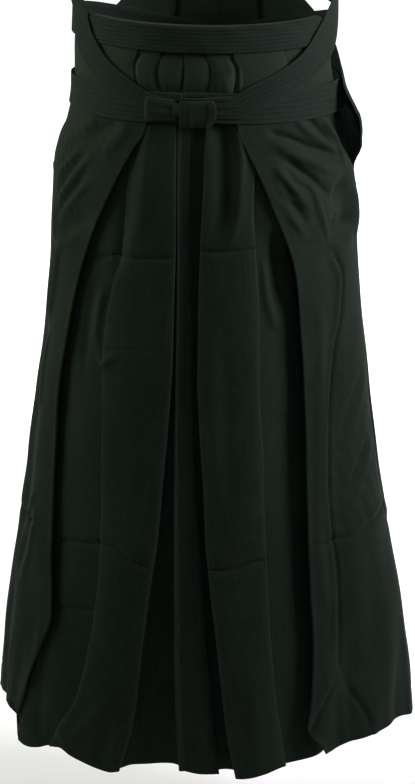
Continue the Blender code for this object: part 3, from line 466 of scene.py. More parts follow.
FRONT_TIE = (
    Route(0.944, -0.0120, 0.0300, ON_CLOTH),
    Route(1.090, -0.0160, 0.0300, -0.0020),
    Route(1.200, -0.0210, 0.0310, -0.0060),
    Route(1.600, -0.0420, 0.0320, -0.0090),
    Route(2.000, -0.0620, 0.0320, -0.0090),
    Route(2.400, -0.0800, 0.0330, -0.0080),
    Route(2.700, -0.0880, 0.0330, -0.0060),
)
# the ties' second lap in front: the right tie ends at the front's left, and the left tie at its right
FRONT_TIE_RIGHT = (Route(BAND_RIGHT + 0.0005, -0.0115, 0.0290, ON_CLOTH),) + FRONT_TIE + (
    Route(2.850, -0.0910, 0.0340, -0.0038),
    Route(2.980, -0.0915, 0.0343, -0.0024),
    Route(3.030, -0.0918, 0.0345, -0.0003),
    Route(3.079, -0.0920, 0.0345, ON_CLOTH),
    Route(3.370, -0.0895, 0.0350, ON_CLOTH),
    Route(3.600, -0.0905, 0.0355, ON_CLOTH),
    Route(3.900, -0.0885, 0.0350, ON_CLOTH),
    Route(3.997, -0.0880, 0.0345, ON_CLOTH),
)
FRONT_TIE_LEFT = (Route(0.0005 - BAND_LEFT, -0.0115, 0.0290, ON_CLOTH),) + FRONT_TIE + (
    Route(2.850, -0.0910, 0.0340, -0.0036),
    Route(2.930, -0.0915, 0.0343, -0.0020),
    Route(3.010, -0.0920, 0.0345, ON_CLOTH),
    Route(3.370, -0.0905, 0.0355, ON_CLOTH),
    Route(3.600, -0.0895, 0.0350, ON_CLOTH),
    Route(3.900, -0.0870, 0.0345, ON_CLOTH),
    Route(3.997, -0.0875, 0.0345, ON_CLOTH),
)
INSIDE_BACK = -0.005      # a route further in than this runs inside the back
CROSSING_OFFSET = 0.0028  # how much deeper the left tie runs there, to clear the right one
TIE_STEP = 0.020          # quarter turns
TIE_WALL = 0.0018
# stitch rows: shares of a tie's width, heights on the front band and heights on the back band
SIX_ROWS = (-0.40, -0.24, -0.08, 0.08, 0.24, 0.40)
BAND_ROWS = (-0.0232, -0.0188, -0.0145, -0.0102, -0.0059, -0.0016)
BACK_ROWS = (0.0085, 0.0132, 0.0180, 0.0228, 0.0275, 0.0322)
# points across each row, and the half width of its groove
TIE_SPREAD, TIE_GROOVE = (-0.0012, -0.0005, 0.0, 0.0005, 0.0012), 0.0008
BAND_SPREAD, BAND_GROOVE = (-0.0014, -0.0006, 0.0, 0.0006, 0.0014), 0.0009
BACK_SPREAD = (-0.0012, -0.0004, 0.0004, 0.0012)
THREAD_SUNK = 0.0003      # how deep a thread lies in its groove
STITCH_SIZES = (("Pitch", 0.0034), ("Length", 0.0023), ("Radius", 0.00021))

# heights of the board's edges, and half its width at its foot and head
BOARD_FOOT, BOARD_HEAD = -0.008, 0.078
BOARD_HALF_FOOT, BOARD_HALF_HEAD = 0.104, 0.078
BOARD_INSET, BOARD_INSET_STEP = 0.0055, 0.0045    # its two stitch lines, in from the edge
BOARD_LINE_FOOT = 0.038   # they start above the back band
BACK_BAND_LOW, BACK_BAND_HIGH = 0.005, 0.035
BACK_BAND_WALL = 0.0014
BOARD_ROWS, BOARD_COLUMNS, BACK_BAND_COLUMNS = 30, 60, 80
KNOT_WALL = 0.0012


# ---------------------------------------------------------------- smooth tables
def ease(x, knots, values):
    """A smooth curve through a table, with no overshoot between its rows."""
    knots, values = np.asarray(knots, float), np.asarray(values, float)
    if knots[0] > knots[-1]:
        knots, values = knots[::-1], values[::-1]
    gaps = np.diff(knots)
    slopes = np.diff(values) / gaps
    tangents = np.zeros(len(knots))
    rising = slopes[:-1] * slopes[1:] > 0
    product, total = slopes[:-1] * slopes[1:], slopes[:-1] + slopes[1:]
    tangents[1:-1][rising] = 2 * product[rising] / total[rising]
    tangents[0], tangents[-1] = slopes[0], slopes[-1]
    x = np.clip(x, knots[0], knots[-1])
    index = np.clip(np.searchsorted(knots, x, side="right") - 1, 0, len(gaps) - 1)
    gap = gaps[index]
    t = (x - knots[index]) / gap
    start, end = values[index], values[index + 1]
    return (start * (1 + 2 * t) * (1 - t) ** 2 + end * t * t * (3 - 2 * t)
            + gap * (tangents[index] * t * (1 - t) ** 2 - tangents[index + 1] * t * t * (1 - t)))


def ease_table(table, x):
    """The second column of a table at a place in its first."""
    return ease(x, [row[0] for row in table], [row[1] for row in table])


def smooth_step(t):
    """From 0 to 1 as t does, level at both ends."""
    t = np.clip(t, 0.0, 1.0)
    return t * t * (3 - 2 * t)


def ring(column, height):
    """One measure of the ring at some heights."""
    return ease(height, [row.height for row in RINGS], [getattr(row, column) for row in RINGS])


def slit(column, height):
    """One measure of the side slits at some heights."""
    return ease(height, [row.height for row in SLITS], [getattr(row, column) for row in SLITS])


def side_name(side):
    return "right" if side > 0 else "left"


# ---------------------------------------------------------------- the ring's geometry
def arc_lengths(half_width, depth):
    """Lengths from the centre line of quarter ellipses up to evenly spaced angles, a row for each ellipse."""
    angles = np.linspace(0.0, math.pi / 2, ARC_STEPS + 1)
    steps_x = np.diff(np.sin(angles)) * half_width[:, None]
    steps_y = np.diff(np.cos(angles)) * depth[:, None]
    lengths = np.zeros((len(half_width), ARC_STEPS + 1))
    np.cumsum(np.hypot(steps_x, steps_y), axis=1, out=lengths[:, 1:])
    return lengths


def quarter_length(height):
    """Distance round the ring from the front centre to the side."""
    height = np.atleast_1d(np.asarray(height, float))
    return arc_lengths(ring("half_width", height), ring("front_depth", height))[:, -1]


def half_length(height):
    """Distance round the ring from the front centre to the back centre."""
    height = np.atleast_1d(np.asarray(height, float))
    return quarter_length(height) + arc_lengths(ring("half_width", height), ring("back_depth", height))[:, -1]


def angle_at(lengths, distance):
    """Where a distance from the centre line falls among a row's arc lengths, as an angle."""
    index = np.clip((lengths < distance[:, None]).sum(axis=1), 1, ARC_STEPS)
    rows = np.arange(len(distance))
    low, high = lengths[rows, index - 1], lengths[rows, index]
    return (index - 1 + (distance - low) / (high - low)) * (math.pi / 2 / ARC_STEPS)


def drape(turns, height):
    """How far the long soft folds push the cloth inwards."""
    push = np.zeros_like(height)
    for fold in DRAPES:
        share = np.clip((fold.start - height) / (fold.start - HEM), 0.0, 1.0)
        centre = fold.turns_hip + share * (fold.turns_hem - fold.turns_hip)
        away = ((turns - centre + 2) % 4 - 2) / fold.half_width
        push += fold.depth * share ** DRAPE_ONSET * np.exp(-away * away)
    beside = (turns + 1.0) / WAIST_PULL_TURNS
    return push + ease_table(WAIST_PULL, height) * np.exp(-beside * beside)


def place(round_ring, inwards, height):
    """Points at distances round the ring, depths inwards from it and heights."""
    shape = np.broadcast_shapes(np.shape(round_ring), np.shape(inwards), np.shape(height))
    s, d, z = (np.broadcast_to(values, shape).astype(float).ravel()
               for values in (round_ring, inwards, height))
    half_width, front_depth, back_depth = (ring(column, z)
                                           for column in ("half_width", "front_depth", "back_depth"))
    front, back = arc_lengths(half_width, front_depth), arc_lengths(half_width, back_depth)
    front_length, back_length = front[:, -1], back[:, -1]
    half = front_length + back_length
    signed = (s + half) % (2 * half) - half
    side, distance = np.where(signed >= 0, 1.0, -1.0), np.abs(signed)
    in_front = distance <= front_length
    angle = np.where(in_front, angle_at(front, np.minimum(distance, front_length)),
                     angle_at(back, np.clip(half - distance, 0.0, back_length)))
    turns = np.where(in_front, distance / front_length, 1 + (distance - front_length) / back_length)
    depth = np.where(in_front, front_depth, back_depth)
    cosine, sine = np.where(in_front, np.cos(angle), -np.cos(angle)), np.sin(angle)
    d = d + drape(side * turns, z)
    normal_x, normal_y = sine / half_width, -cosine / depth
    size = np.hypot(normal_x, normal_y)
    x = side * (half_width * sine - d * normal_x / size)
    y = -depth * cosine - d * normal_y / size
    return np.stack([x, y, z], axis=1).reshape(shape + (3,))


def turn(turns, height):
    """Signed distance round the ring at a number of quarter turns from the front centre, up to four."""
    front, half = quarter_length(height), half_length(height)
    folded = np.where(turns > 2, 4 - turns, turns)
    distance = np.where(folded <= 1, folded * front, front + (folded - 1) * (half - front))
    return np.where(turns > 2, -distance, distance)


# ---------------------------------------------------------------- creases
def crease_route(route):
    """Evenly spaced points on a smooth curve through a crease's route, in metres."""
    points = np.array(route, float) / MILLIMETRES
    along = np.concatenate([[0.0], np.cumsum(np.hypot(*np.diff(points, axis=0).T))])
    count = max(int(along[-1] / CREASE_STEP), 2)
    steps = np.linspace(0.0, along[-1], count + 1)
    return np.stack([ease(steps, along, points[:, 0]), ease(steps, along, points[:, 1])], axis=1)


def press(creases, round_ring, height):
    """How far the creases push the cloth inwards at each point."""
    shape = round_ring.shape
    s, z = round_ring.ravel(), height.ravel()
    push = np.zeros(len(s))
    for crease in creases:
        route = crease_route(crease.route)
        width = crease.width / MILLIMETRES
        reach = CREASE_REACH * width
        low, high = route.min(axis=0) - reach, route.max(axis=0) + reach
        near = np.flatnonzero((s > low[0]) & (s < high[0]) & (z > low[1]) & (z < high[1]))
        if not len(near):
            continue
        best = np.full(len(near), np.inf)
        share = np.zeros(len(near))
        for step in range(len(route) - 1):
            run = route[step + 1] - route[step]
            offset_s, offset_z = s[near] - route[step, 0], z[near] - route[step, 1]
            t = np.clip((offset_s * run[0] + offset_z * run[1]) / (run @ run), 0.0, 1.0)
            distance = np.hypot(offset_s - t * run[0], offset_z - t * run[1])
            closer = distance < best
            best[closer] = distance[closer]
            share[closer] = ((step + t) / (len(route) - 1))[closer]
        away = best / width
        profile = np.exp(-away) if crease.pressed else np.exp(-away * away)
        fade = smooth_step(share / crease.ends[0]) * smooth_step((1 - share) / crease.ends[1])
        push[near] += crease.depth / MILLIMETRES * profile * fade
    return push.reshape(shape)


def shirr(ripples, round_ring, height):
    """How far groups of fine ripples push the cloth inwards."""
    push = np.zeros(round_ring.shape)
    for group in ripples:
        aside, above = round_ring - group.middle[0], height - group.middle[1]
        across = aside * math.cos(group.slant) + above * math.sin(group.slant)
        along = above * math.cos(group.slant) - aside * math.sin(group.slant)
        window = np.exp(-(aside / group.reach[0]) ** 2 - (above / group.reach[1]) ** 2)
        waves = np.sin(2 * math.pi * across / group.pitch + 1.3 * np.sin(along / group.pitch * 1.7))
        push += group.depth * window * waves
    return push


def ripple(round_ring, height, phase):
    """Slight waves in hanging cloth, deeper towards the hem."""
    drop = -height
    drift = np.sin(2 * math.pi * drop / ACROSS_DRIFT + phase)
    across = np.sin(2 * math.pi * round_ring / ACROSS_PITCH + 1.9 * drift + phase)
    slant = np.sin(2 * math.pi * (round_ring / SLANT_PITCH + drop / SLANT_DROP) + 2.3 * phase)
    level = np.sin(2 * math.pi * (drop / LEVEL_DROP - round_ring / LEVEL_PITCH) + 3.1 * phase)
    depth = WAVE_DEPTH + WAVE_GAIN * smooth_step((drop - 0.12) / 0.6)
    return depth * (0.50 * across + 0.32 * slant) + WAVE_DEPTH * level * smooth_step((drop - 0.1) / 0.1)


# ---------------------------------------------------------------- laying a panel
class Path:
    """The columns of a panel, laid one after another: each has a distance round the ring and a depth in plies
    at every height, how far it is lifted outwards, and how much it is painted lighter as a folded edge, for
    rubbed wear and a painted highlight."""

    def __init__(self, heights, start, ply):
        self.heights = heights
        self.columns = []
        self.after_fold = False
        self.flare, self.flare_edge = None, None
        self.add(start, ply, 0.0, 0.0)

    def add(self, round_ring, ply, lift, edge):
        row = [np.broadcast_to(np.asarray(value, float), self.heights.shape) for value in
               (round_ring, ply, lift, edge)]
        self.columns.append(row)
        self.round_ring, self.ply = row[0], row[1]

    def face(self, end, ply=None, step=FRONT_STEP, crown=0.0, to_fold=False):
        """A flat run to another distance, crowned outwards in its middle."""
        start, ply_start = self.round_ring, self.ply
        ply_end = ply_start if ply is None else ply
        count = max(int(np.ceil(np.abs(end - start).max() / step)), 1)
        length = np.abs(end - start)
        for index in range(1, count + 1):
            t = index / count
            wear_and_highlight = 0.0
            # cloth near a folded edge is painted lighter: rubbed wear and a painted highlight
            if self.after_fold:
                wear_and_highlight = np.exp(-t * length / WEAR_AND_HIGHLIGHT_REACH)
            if to_fold:
                wear_and_highlight = wear_and_highlight + np.exp(-(1 - t) * length / WEAR_AND_HIGHLIGHT_REACH)
            self.add(start + t * (end - start), ply_start + t * (ply_end - ply_start),
                     crown * (1 - (2 * t - 1) ** 4), wear_and_highlight)
        self.after_fold = False

    def fold(self, edge, ply, turns=6):
        """A half turn round a folded edge to another ply."""
        start, ply_start = self.round_ring, self.ply
        for index in range(1, turns + 1):
            angle = math.pi * index / turns
            # the turned edge itself is painted lightest: rubbed wear and a painted highlight
            self.add(start + (edge - start) * math.sin(angle),
                     ply_start + (ply - ply_start) * (1 - math.cos(angle)) / 2, 0.0, 1.0)
        self.after_fold = True

    def sink(self, ply):
        """A short step to another ply where the cloth turns back under itself."""
        middle = (self.ply + ply) / 2
        self.add(self.round_ring, middle, 0.0, 0.0)
        self.add(self.round_ring, ply, 0.0, 0.0)

    def lift_by(self, flare, edge):
        """Stand the cloth out near an edge, by an amount that depends on the distance from it."""
        self.flare, self.flare_edge = flare, edge

    def grids(self):
        """Every column's distances, plies, lifts and painted edge lightening (rubbed wear and a painted
        highlight), as grids of rows and columns.
        """
        round_ring, plies, lift, edge = (np.stack([column[index] for column in self.columns], axis=1)
                                         for index in range(4))
        if self.flare:
            away = np.abs(round_ring - self.flare_edge[:, None])
            lift = lift + np.stack([self.flare(away[:, index]) for index in range(away.shape[1])], axis=1)
        return round_ring, plies, lift, edge


def rows_between(top, bottom, step, fine_bands=()):
    """Even heights from top to bottom, closer together within the fine bands."""
    heights = np.linspace(top, bottom, int(math.ceil((top - bottom) / step)) + 1)
    for high, low in fine_bands:
        fine = np.linspace(high, low, int(round((high - low) / FINE_STEP)) + 1)
        outside = (heights > high + FINE_STEP / 2) | (heights < low - FINE_STEP / 2)
        heights = np.concatenate([heights[outside], fine])
    return np.sort(heights)[::-1]


def fold_line(name, height):
    return ease_table(FOLDS[name], height)


def tuck(name, height):
    return ease_table(TUCKS[name], height)


def edge_reach(height):
    """Radius of a folded edge: crisp at the waist, softer towards the hem."""
    return EDGE_RADIUS + EDGE_GAIN * smooth_step(height / HEM)


def hem_puckers(round_ring, above_hem):
    """Small puckers along the stitched hem, and the line of its turned-up edge."""
    drift = 2.0 * np.sin(2 * math.pi * round_ring / PUCKER_DRIFT)
    waves = np.sin(2 * math.pi * round_ring / PUCKER_PITCH + drift)
    line = np.exp(-((above_hem - HEM_FOLD) / HEM_LINE_REACH) ** 2)
    return HEM_LINE * line + PUCKER * waves * np.exp(-((above_hem - HEM_FOLD) / PUCKER_REACH) ** 2)


def lengths_along(points):
    """How far along a line each of its points is."""
    return np.concatenate([[0.0], np.cumsum(np.linalg.norm(np.diff(points, axis=0), axis=1))])


def lay_panel(name, path, phase, creases):
    """Points of a panel, the grain of its cloth and how much its edges are painted lighter, for rubbed wear
    and a painted highlight.
    """
    round_ring, plies, lift, edge = path.grids()
    base = np.broadcast_to(path.heights[:, None], round_ring.shape)
    height = base
    above_hem = base - HEM
    if name in HEMS:
        waves = ease_table(HEMS[name], round_ring) - HEM
        height = base + waves * smooth_step((HEM + HEM_REACH - base) / HEM_REACH)
    inwards = plies * ring("ply", base) - lift
    inwards = inwards + press(creases, round_ring, height) + ripple(round_ring, height, phase)
    ripples = RIPPLES.get(name, ())
    inwards = inwards + hem_puckers(round_ring, above_hem) + shirr(ripples, round_ring, height)
    if name in COVERED:
        cover, fold_name = COVERED[name]
        past_fold = np.abs(round_ring) - np.abs(fold_line(fold_name, base))
        under = smooth_step((past_fold - COVER_START) / COVER_FADE)
        inwards = inwards + under * press(CREASES[cover], round_ring, height)
    points = place(round_ring, inwards, height)
    across = lengths_along(points[len(base) * 2 // 3])
    grain = np.stack([np.broadcast_to(across, round_ring.shape), height], axis=2)
    return points, grain, edge


# ---------------------------------------------------------------- making meshes
def cells(grid):
    """The four corners of every cell of a grid."""
    return np.stack([grid[:-1, :-1], grid[:-1, 1:], grid[1:, 1:], grid[1:, :-1]], axis=2).reshape(-1, 4)


def grid_mesh(name, points, grain, edge, material, closed=False):
    """A mesh of the faces between rows of points, with its cloth grain as a UV map and how much its edges are
    painted lighter, for rubbed wear and a painted highlight.
    """
    rows, width = points.shape[:2]
    corners = np.arange(rows * width).reshape(rows, width)
    if closed:
        corners = np.concatenate([corners, corners[:, :1]], axis=1)
    quads = cells(corners)
    mesh = bpy.data.meshes.new(name)
    mesh.from_pydata(points.reshape(-1, 3).tolist(), [], quads.tolist())
    layer = mesh.uv_layers.new(name="cloth")
    if closed:
        wide = np.concatenate([grain, grain[:, :1]], axis=1)
        wide[:, -1, 0] = grain[:, -1, 0] + (grain[:, -1, 0] - grain[:, -2, 0])
        uv = wide.reshape(-1, 2)[cells(np.arange(rows * (width + 1)).reshape(rows, width + 1))]
    else:
        uv = grain.reshape(-1, 2)[quads.reshape(-1)]
    layer.data.foreach_set("uv", uv.astype(np.float32).ravel())
    wear_and_highlight = mesh.attributes.new("wear_and_highlight", "FLOAT", "POINT")
    wear_and_highlight.data.foreach_set("value", np.broadcast_to(edge, points.shape[:2]).astype(np.float32).ravel())
    mesh.materials.append(material)
    mesh.shade_smooth()
    mesh.update()
    return mesh


def add_piece(name, mesh):
    piece = bpy.data.objects.new(name, mesh)
    bpy.context.scene.collection.objects.link(piece)
    return piece


def thicken(piece, wall):
    """Give a sheet its wall, half to each side."""
    shell = piece.modifiers.new("wall", "SOLIDIFY")
    shell.thickness = wall
    shell.offset = 0.0


def cap_ends(mesh, rows, width):
    """Close both ends of a tube."""
    work = bmesh.new()
    work.from_mesh(mesh)
    work.verts.ensure_lookup_table()
    first = [work.verts[index] for index in range(width)]
    last = [work.verts[(rows - 1) * width + index] for index in range(width)]
    work.faces.new(first[::-1])
    work.faces.new(last)
    bmesh.ops.recalc_face_normals(work, faces=work.faces)
    work.to_mesh(mesh)
    work.free()


# ---------------------------------------------------------------- materials
PANEL_DARK, PANEL_LIGHT = (0.0040, 0.0086, 0.0047, 1.0), (0.0130, 0.0214, 0.0142, 1.0)
BAND_DARK, BAND_LIGHT = (0.0038, 0.0080, 0.0045, 1.0), (0.0124, 0.0200, 0.0136, 1.0)
THREAD_COLOUR = (0.020, 0.030, 0.025, 1.0)
TWILL_SLANT = math.radians(58)
MEAN_TONE = 1.15          # the threads' and dye's usual sum, which gives the darkest cloth
PAINTED_LIGHT_LOW, PAINTED_LIGHT_HIGH = -0.095, -0.060      # painted light on the pleats above the ties comes in over these heights
ROUGHNESS_RANGE = 0.08


def add_node(tree, kind, inputs=None, **settings):
    """A shader node with its settings and inputs: an input is a value or another node's output."""
    node = tree.nodes.new(kind)
    for key, value in settings.items():
        setattr(node, key, value)
    for key, value in (inputs or {}).items():
        if isinstance(value, bpy.types.NodeSocket):
            tree.links.new(value, node.inputs[key])
        else:
            node.inputs[key].default_value = value
    return node


def mapped(tree, coordinates, scale, rotation=0.0):
    node = add_node(tree, "ShaderNodeMapping", {"Vector": coordinates, "Scale": scale})
    node.inputs["Rotation"].default_value = (0.0, 0.0, rotation)
    return node.outputs["Vector"]


def maths(tree, operation, first, second):
    return add_node(tree, "ShaderNodeMath", {0: first, 1: second}, operation=operation).outputs[0]


def noise(tree, coordinates, scale, detail, roughness):
    """Noise over some coordinates, each stretched by its own scale."""
    return add_node(tree, "ShaderNodeTexNoise", {"Vector": mapped(tree, coordinates, scale), "Scale": 1.0,
                                                 "Detail": detail, "Roughness": roughness}).outputs["Fac"]


def weighted_sum(tree, first, *others):
    """Outputs added up, each times its weight: a part is (output, weight)."""
    total = maths(tree, "MULTIPLY", *first)
    for part in others:
        total = maths(tree, "ADD", total, maths(tree, "MULTIPLY", *part))
    return total


def make_cloth(name, dark, light, roughness, grain_depth, painted_light_top):
    """Fine dark twill: slubbed threads down the grain, faint threads across it, a soft uneven dye, edges
    painted lighter where the cloth is folded (rubbed wear and a painted highlight), and painted light on the
    cloth above the ties."""
    material = bpy.data.materials.new(name)
    material.use_nodes = True
    tree = material.node_tree
    shader = tree.nodes["Principled BSDF"]
    grain = add_node(tree, "ShaderNodeUVMap", uv_map="cloth").outputs["UV"]
    body = add_node(tree, "ShaderNodeTexCoord").outputs["Object"]
    warp = noise(tree, grain, (620.0, 16.0, 1.0), 3.0, 0.62)
    weft = noise(tree, grain, (22.0, 760.0, 1.0), 2.0, 0.55)
    ribs = noise(tree, grain, (300.0, 34.0, 1.0), 2.0, 0.60)
    slubs = noise(tree, grain, (46.0, 330.0, 1.0), 2.0, 0.60)
    threads = weighted_sum(tree, (warp, 0.60), (weft, 0.40), (ribs, 0.80), (slubs, 0.60))
    dye = add_node(tree, "ShaderNodeTexNoise", {"Vector": body, "Scale": 9.0, "Detail": 4.0,
                                                "Roughness": 0.55}).outputs["Fac"]
    slanted = mapped(tree, grain, (1.0, 1.0, 1.0), TWILL_SLANT)
    twill = add_node(tree, "ShaderNodeTexWave", {"Vector": slanted, "Scale": 180.0, "Distortion": 1.2,
                                                 "Detail": 1.0},
                     wave_type="BANDS", bands_direction="X").outputs["Fac"]
    tone = weighted_sum(tree, (threads, 1.0), (dye, 0.75), (twill, 0.06))
    # folded edges are painted lighter from the edge attribute: rubbed wear and a painted highlight
    wear_and_highlight = add_node(tree, "ShaderNodeAttribute", attribute_name="wear_and_highlight").outputs["Fac"]
    rubbed_and_highlight = maths(tree, "MULTIPLY", wear_and_highlight, maths(tree, "MULTIPLY", warp, 0.9))
    tone = maths(tree, "ADD", maths(tree, "SUBTRACT", tone, MEAN_TONE), rubbed_and_highlight)
    # painted light: the cloth above the ties is lighter, standing in for light from above on the swelling
    # pleat tops
    height = add_node(tree, "ShaderNodeSeparateXYZ", {"Vector": body}).outputs["Z"]
    painted_light_above_ties = add_node(tree, "ShaderNodeMapRange", {"Value": height, "From Min": PAINTED_LIGHT_LOW,
                                                  "From Max": PAINTED_LIGHT_HIGH, "To Min": 0.0,
                                                  "To Max": painted_light_top}).outputs["Result"]
    tone = maths(tree, "ADD", tone, painted_light_above_ties)
    colour = add_node(tree, "ShaderNodeMix", {"Factor": tone, "A": dark, "B": light}, data_type="RGBA")
    tree.links.new(colour.outputs["Result"], shader.inputs["Base Color"])
    rough = add_node(tree, "ShaderNodeMapRange", {"Value": warp, "To Min": roughness - ROUGHNESS_RANGE,
                                                  "To Max": roughness + ROUGHNESS_RANGE})
    tree.links.new(rough.outputs["Result"], shader.inputs["Roughness"])
    relief = weighted_sum(tree, (threads, 1.0), (twill, 0.35))
    bump = add_node(tree, "ShaderNodeBump", {"Strength": 0.55, "Distance": grain_depth, "Height": relief})
    tree.links.new(bump.outputs["Normal"], shader.inputs["Normal"])
    shader.inputs["Specular IOR Level"].default_value = 0.06
    shader.inputs["Sheen Weight"].default_value = 0.03
    shader.inputs["Sheen Roughness"].default_value = 0.42
    shader.inputs["Sheen Tint"].default_value = (0.70, 0.86, 0.80, 1.0)
    return material


def make_thread(name, colour):
    """Sewing thread, with a slight twist."""
    material = bpy.data.materials.new(name)
    material.use_nodes = True
    tree = material.node_tree
    shader = tree.nodes["Principled BSDF"]
    body = add_node(tree, "ShaderNodeTexCoord").outputs["Object"]
    twist = add_node(tree, "ShaderNodeTexNoise", {"Vector": body, "Scale": 700.0,
                                                  "Detail": 2.0}).outputs["Fac"]
    dim = tuple(0.6 * part for part in colour[:3]) + (1.0,)
    mix = add_node(tree, "ShaderNodeMix", {"Factor": twist, "A": dim, "B": colour}, data_type="RGBA")
    tree.links.new(mix.outputs["Result"], shader.inputs["Base Color"])
    shader.inputs["Roughness"].default_value = 0.6
    shader.inputs["Specular IOR Level"].default_value = 0.3
    return material


# ---------------------------------------------------------------- panels
# how far a pleat's face bulges outwards, most where it swells between the band and the ties: (height, bulge)
CROWN = ((0.000, 0.0), (-0.024, 0.0), (-0.042, 0.0046), (-0.058, 0.0066), (-0.070, 0.0042), (-0.080, 0.0006),
         (-0.112, 0.0), (-0.150, 0.0010), (-0.500, 0.0016), (-0.900, 0.0026))
SLIGHT_CROWN = 0.3        # the wide faces have this share of it
# the depth, in plies, at the far side of each sunk strip: (height, ply)
SINKS = {
    "side_left": ((0.000, 4.0), (-0.100, 4.0), (-0.200, 4.3), (-0.400, 4.2), (-0.620, 3.6), (-0.740, 3.0),
                  (-0.820, 2.3), (-0.900, 1.9)),
    "side_right": ((0.000, 4.0), (-0.168, 4.0), (-0.184, 1.7), (-0.220, 1.5), (-0.240, 5.0), (-0.270, 9.0),
                   (-0.330, 8.6), (-0.500, 8.2), (-0.900, 7.0)),
    "inner_right": ((0.000, 4.0), (-0.090, 4.0), (-0.125, 5.6), (-0.200, 7.0), (-0.500, 8.0), (-0.900, 8.4)),
}
# how far the two middle strips swell out between the band and the ties, and are drawn in (minus) below them
MIDDLE_SWELL = {
    "left": ((0.000, 0.0016), (-0.026, 0.0018), (-0.042, 0.0076), (-0.058, 0.0092), (-0.070, 0.0066),
             (-0.080, 0.0020), (-0.100, -0.0010), (-0.200, -0.0040), (-0.500, -0.0080), (-0.900, -0.0120)),
    "right": ((0.000, 0.0), (-0.026, 0.0004), (-0.042, 0.0046), (-0.058, 0.0062), (-0.070, 0.0040),
              (-0.080, 0.0006), (-0.130, -0.0026), (-0.200, -0.0036), (-0.500, -0.0050), (-0.900, -0.0060)),
}


def crown_at(height):
    return ease_table(CROWN, height)


def slit_tuck(height):
    """Width of the hem along the slit, or of the seam allowance below it."""
    return SEAM_TURN + SLIT_GAIN * smooth_step((height - SLIT_FOOT) / 0.03)


def side_panel(side, heights):
    """From the slit edge or side seam, folded in, across to the long pleat and back under it."""
    name = side_name(side)
    seam = side * (quarter_length(heights) - SEAM)
    edge = np.where(heights > SLIT_FOOT, side * slit("front_" + name, heights), seam)
    reach = side * edge_reach(heights)
    pleat = fold_line("side_" + name, heights)
    under = pleat + side * tuck("side", heights)
    path = Path(heights, edge - side * slit_tuck(heights), TURNED_IN_PLY)
    path.face(edge - reach, step=TURN_STEP)
    path.fold(edge, TOP_PLY, turns=4)
    path.face(pleat + reach, step=SIDE_STEP, crown=SLIGHT_CROWN * crown_at(heights), to_fold=True)
    path.fold(pleat, SIDE_TUCK)
    path.face(under, step=HIDDEN_STEP)
    return path


def pleats(side, heights):
    """The sunk strip beside a side panel, then the front pleat with both its edges folded under."""
    name = side_name(side)
    reach = side * edge_reach(heights)
    side_edge = fold_line("side_" + name, heights)
    outer = side_edge + side * (tuck("side", heights) + SEAM + SOLID_CLOTH / 2)
    front = fold_line("front_" + name, heights)
    front_under = front - side * tuck("front", heights)
    inner = fold_line("inner_" + name, heights)
    inner_under = inner + side * tuck("inner", heights)
    path = Path(heights, outer, COVERED_PLY)
    path.sink(ease_table(SINKS["side_" + name], heights))
    path.face(side_edge + side * UNDER_SIDE, step=HIDDEN_STEP)
    path.face(front + side * SHORT_OF_PLEAT, SUNK_PLY)
    path.face(front_under, step=HIDDEN_STEP)
    path.sink(FRONT_TUCK)
    path.face(front - reach, step=HIDDEN_STEP)
    path.fold(front, FRONT_PLY)
    path.face(inner + reach, crown=crown_at(heights), to_fold=True)
    path.fold(inner, FRONT_TUCK)
    path.face(inner_under, step=HIDDEN_STEP)
    return path


def leg_gap(height):
    """The gap between the two legs at the centre: a seam down to the crotch, then opening to the hem."""
    share = np.clip((CROTCH - height) / (CROTCH - HEM), 0.0, 1.0)
    return SEAM + share * LEG_GAP_AT_HEM


def left_centre(heights):
    """The left pleats, then the deep layer that runs under the middle fold to the centre seam."""
    path = pleats(-1, heights)
    middle = fold_line("middle", heights)
    end = middle + tuck("middle", heights)
    swell = ease_table(MIDDLE_SWELL["left"], heights)
    path.sink(DEEP_PLY)
    path.face(fold_line("inner_left", heights) - UNDER_PLEAT, step=HIDDEN_STEP)
    path.face(middle + UNDER_MIDDLE, DEEP_PLY + 0.5, crown=swell)
    path.face(end, DEEPEST_PLY, step=HIDDEN_STEP)
    return path


def right_centre(heights):
    """The right pleats, then the middle fold, which covers the centre seam."""
    path = pleats(1, heights)
    middle = fold_line("middle", heights)
    end = middle + tuck("middle", heights) + leg_gap(heights) + SOLID_CLOTH / 2
    reach = edge_reach(heights)
    swell = ease_table(MIDDLE_SWELL["right"], heights)
    path.sink(ease_table(SINKS["inner_right"], heights))
    path.face(fold_line("inner_right", heights) + UNDER_PLEAT, step=HIDDEN_STEP)
    path.face(middle + reach, FRONT_TUCK, crown=swell, to_fold=True)
    path.fold(middle, SUNK_PLY)
    path.face(end, DEEP_PLY, step=HIDDEN_STEP)
    path.sink(DEEPEST_PLY)
    return path


def slit_flare(lift, away):
    """How far the cloth stands out at a distance from the slit's edge, where it stands out by the lift."""
    return lift * np.exp(-(away / FLARE_REACH) ** 2)


